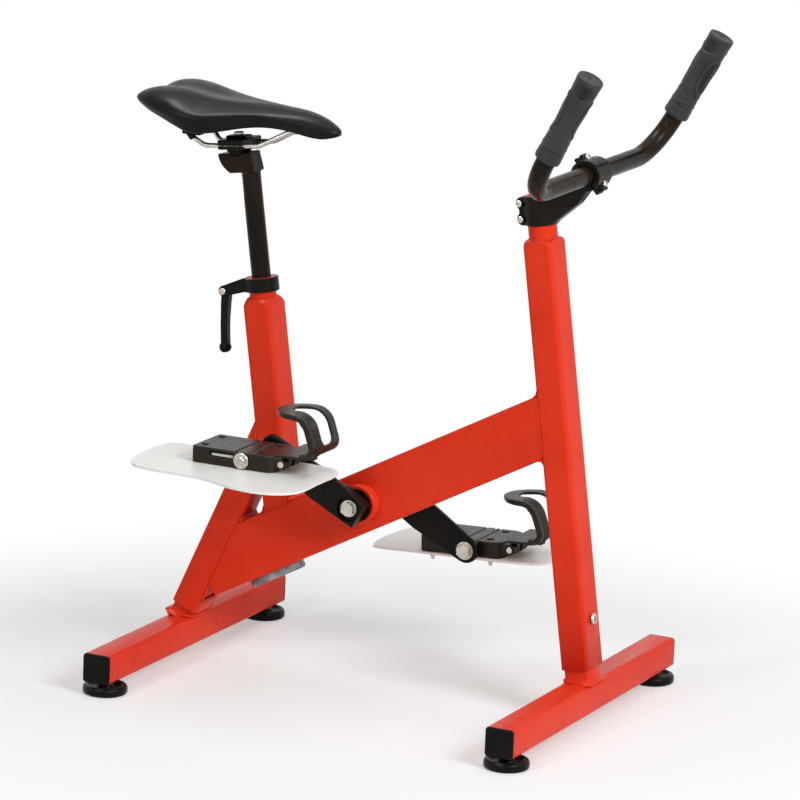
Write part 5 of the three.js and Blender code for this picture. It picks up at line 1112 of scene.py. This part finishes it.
# %% Welds along the sides and round the feet of the tubes
weld_offset = (25 - 1.05) * MM  # the tubes' sides, and how far the drops are sunk in them
weld_lines = []
for first, last in joint_lines.values():
    short = (last - first).normalized() * 4 * MM
    for side in (-1, 1):
        aside = Vector((0, side * weld_offset, 0))
        weld_lines.append([first + short + aside, last - short + aside])

foot_lines = []
foot_out = 2.4 * MM
for tube, x in ((column, 0.29738), (strut, -0.29762)):
    halves = (16.65 * MM / tube.ahead.z + foot_out, 21.65 * MM + foot_out, 6 * MM + foot_out)
    loop = []
    for turn in turns(48):
        reach = square_reach(turn, *halves)
        loop.append(Vector((x + reach * math.cos(turn), reach * math.sin(turn), 60.4 * MM)))
    foot_lines.append(loop + [loop[0]])

drops = 0
for name, lines, step, radius in (("side_welds", weld_lines, 1.1, 1.5), ("foot_welds", foot_lines, 2.9, 2.3)):
    values = {"Step": step * MM, "Radius": radius * MM, "Finish": red_coat}
    welds = grown(name, line_mesh(name, lines), rows, row_inputs, values)
    settle(welds, "frame", red_coat)
    drops += len(welds.data.polygons) // 320
print("drops of weld:", drops)

# %% Fillets in the inner corners


def corner_fillet(corner, first_way, second_way, leg, half_width):
    """A hollow fillet along an inner corner, from side to side. The two ways run along the two walls."""
    sunk = corner - (first_way + second_way).normalized() * 0.6 * MM
    radius = leg * math.tan(first_way.angle(second_way) / 2)
    outline = [sunk] + round_corner(corner, first_way, second_way, radius, 12)
    count = len(outline)
    points = [p + Vector((0, side * half_width, 0)) for side in (-1, 1) for p in outline]
    faces = [tuple(range(count)), tuple(range(2 * count - 1, count - 1, -1))]
    faces += [(i, (i + 1) % count, count + (i + 1) % count, count + i) for i in range(count)]
    return face_out(plain_mesh("fillet", points, faces))


inner_corners = (  # joint line and which end of it, the ways along its two walls, reach of the fillet in mm
    ("strut and beam", 1, strut.ahead, beam.ahead, 10),
    ("strut and beam", 0, -strut.ahead, beam.ahead, 5),
    ("seat tube and beam", 0, seat_tube.ahead, -beam.ahead, 8),
    ("seat tube and beam", 1, seat_tube.ahead, beam.ahead, 6),
    ("strut and seat tube", 0, -strut.ahead, -seat_tube.ahead, 7),
    ("column and beam", 1, column.ahead, -beam.ahead, 6),
    ("column and beam", 0, -column.ahead, -beam.ahead, 6),
)
fillets = []
for line, i, first_way, second_way, leg in inner_corners:
    fillets.append(corner_fillet(joint_lines[line][i], first_way, second_way, leg * MM, 24.2 * MM))
fillet_piece = new_piece("corner_welds", joined_mesh("corner_welds", fillets), smooth=False)
settle(fillet_piece, "frame", red_coat)
print("fillets:", len(fillets))

# %% [markdown]
# ## Screws and nuts under the feet of the rider
# Each water plate hangs under its pedal on four screws. Their heads sit low in the holes of the pedal,
# and flanged nuts hold the plate from below. One node tree puts the same nut or head on every point.

# %% Node tree for heads and nuts
heads, head_inputs, start, end = new_tree(
    "heads_on_points",
    [
        ("Sides", "Int", 6), ("Radius", "Float", 0.004), ("Height", "Float", 0.004),
        ("Flange Radius", "Float", 0.006), ("Flange Height", "Float", 0.001),
        ("Turn", "Vector", (0, 0, 0)), ("Finish", "Material", None),
    ],
)
body_form = add_node(heads, "GeometryNodeMeshCylinder")
flange_form = add_node(heads, "GeometryNodeMeshCylinder", Vertices=32)
both = add_node(heads, "GeometryNodeJoinGeometry")
place = add_node(heads, "GeometryNodeInstanceOnPoints")
real = add_node(heads, "GeometryNodeRealizeInstances")
dress = add_node(heads, "GeometryNodeSetMaterial")
for label, node, socket in (
    ("Sides", body_form, "Vertices"), ("Radius", body_form, "Radius"), ("Height", body_form, "Depth"),
    ("Flange Radius", flange_form, "Radius"), ("Flange Height", flange_form, "Depth"),
    ("Turn", place, "Rotation"), ("Finish", dress, "Material"),
):
    link(heads, start.outputs[label], node.inputs[socket])
chain(heads, body_form, both)
chain(heads, flange_form, both)
link(heads, both.outputs["Geometry"], place.inputs["Instance"])
chain(heads, start, place, real, dress, end)

# %% Plate screws and nuts
head_sizes = {  # height above the axle, finish, sides, radius and height of the head and of its flange, in mm
    "_plate_nuts": (-17.2, stainless, 6, 4.6, 4.8, 8.5, 1.6),
    "_stud_ends": (-20.5, stainless, 20, 2.4, 9, 3.6, 1.0),
    "_plate_screws": (7.4, coated_black, 24, 3.4, 2.4, 3.8, 1.0),
}


def heads_on(name, kind):
    """The same head on all four screws of a pedal."""
    _, pitch, side = pedals[name]
    height, finish, sides, *sizes = head_sizes[kind]
    places = [(along, (side * 115 + across) * MM) for along in (-63, 23) for across in (-24, 24)]
    spots = [on_pedal(name, along, across, height) for along, across in places]
    values = {"Sides": sides, "Turn": (0, -math.radians(pitch), 0), "Finish": finish}
    for label, size in zip(("Radius", "Height", "Flange Radius", "Flange Height"), sizes):
        values[label] = size * MM
    return grown(name + kind, plain_mesh(name + kind, spots), heads, head_inputs, values)


for name, (*_, side) in pedals.items():
    nuts, tips = heads_on(name, "_plate_nuts"), heads_on(name, "_stud_ends")
    nuts.data = joined_mesh(name + "_plate_nuts", [nuts.data, tips.data])
    bpy.data.objects.remove(tips)
    settle(nuts, name + "_pedal", stainless)
    settle(heads_on(name, "_plate_screws"), name + "_pedal", coated_black)
    # The pale strip is a thin bar let into the slot in the pedal's outer side.
    strip_rings = []
    for across in (151.2, 146):
        corners = ((-46, 0.8), (-14, 0.8), (-14, 3.9), (-46, 3.9))
        strip_rings.append([on_pedal(name, along, side * across * MM, up_by) for along, up_by in corners])
    strip = new_piece(name + "_slot_strip", ring_mesh(name + "_slot_strip", strip_rings), False)
    settle(strip, name + "_pedal", milky_plate)
print("screws, nuts and strips on two pedals")

# %% [markdown]
# ## Centre screws and the slotted pin
# A round screw with a cross recess closes each pedal's axle, inside the ring of the cap,
# and the pin of the collar's lever ends in a slotted head. The recess is cut by a boolean modifier,
# which is fine here because both forms are simple and closed.

# %% Recessed heads


def recessed_head(name, solid_name, side, radius, height, slots, body):
    """A low round steel head with one or two slots, in the middle of a solid's right or left face."""
    low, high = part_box(solid_name)
    place = Vector(((low.x + high.x) / 2, low.y if side < 0 else high.y, (low.z + high.z) / 2))
    outward = Vector((0, side, 0))
    dome = [(0, -1.5 * MM), (radius, -1.5 * MM), (radius, height * 0.35), (radius * 0.86, height * 0.8)]
    dome += [(radius * 0.5, height), (0, height)]
    head = new_piece(name, turned_mesh(name, dome, 40, place, outward))
    aside = outward.orthogonal().normalized()
    turn = Matrix((aside, outward.cross(aside), outward)).transposed().to_4x4()
    slot_place = Matrix.Translation(place + outward * height) @ turn
    long, thin, deep = radius * 1.32, radius * 0.3, height * 1.1
    cutters = []
    for size in ((long, thin, deep), (thin, long, deep))[:slots]:
        shape = bmesh.new()
        bmesh.ops.create_cube(shape, size=1, matrix=slot_place @ Matrix.Diagonal((*size, 1)))
        cutters.append(new_piece("cutter", kept(shape, bpy.data.meshes.new("cutter")), False))
        add_modifier(head, "slot", "BOOLEAN", operation="DIFFERENCE", object=cutters[-1])
    apply_modifiers(head)
    for cutter in cutters:
        bpy.data.objects.remove(cutter)
    return settle(shade(head, False), body, stainless)


for name, (*_, side) in pedals.items():
    recessed_head(name + "_axle_screw", name + "_axle_cap", side, 5.6 * MM, 2.0 * MM, 2, "crankset")
recessed_head("lever_pin_head", "lever_pin", -1, 4.6 * MM, 1.6 * MM, 1, "frame")
print("recessed heads: 3")

# %% [markdown]
# ## Sockets for the saddle's rails
# The back ends of the rails push into round bosses of the tub. They are turned forms on each rail's line.

# %% Rail sockets
rail_points = [v.co.copy() for v in solids["saddle_rails"].data.vertices]
rear_x = min(p.x for p in rail_points)
boss_line = [(r * MM, h * MM) for r, h in ((0, -2), (4.4, -2), (4.9, -1.2), (5.4, 5), (7.0, 13), (0, 13))]


def rail_middle(side, first, last):
    """The middle of one rail between two distances in mm from its back end."""
    near = [p for p in rail_points if first * MM <= p.x - rear_x < last * MM and p.y * side > 0]
    return sum(near, Vector()) / len(near)


for name, side in (("right", -1), ("left", 1)):
    tip = rail_middle(side, 0, 4)
    along = ((tip - rail_middle(side, 9, 16)).normalized() + Vector((0, 0, 0.9))).normalized()
    boss = new_piece(name + "_rail_socket", turned_mesh(name + "_rail_socket", boss_line, 32, tip, along))
    settle(boss, "saddle", moulded_black)
    print(name, "rail ends at mm:", [round(c / MM, 1) for c in tip], "along", [round(c, 2) for c in along])
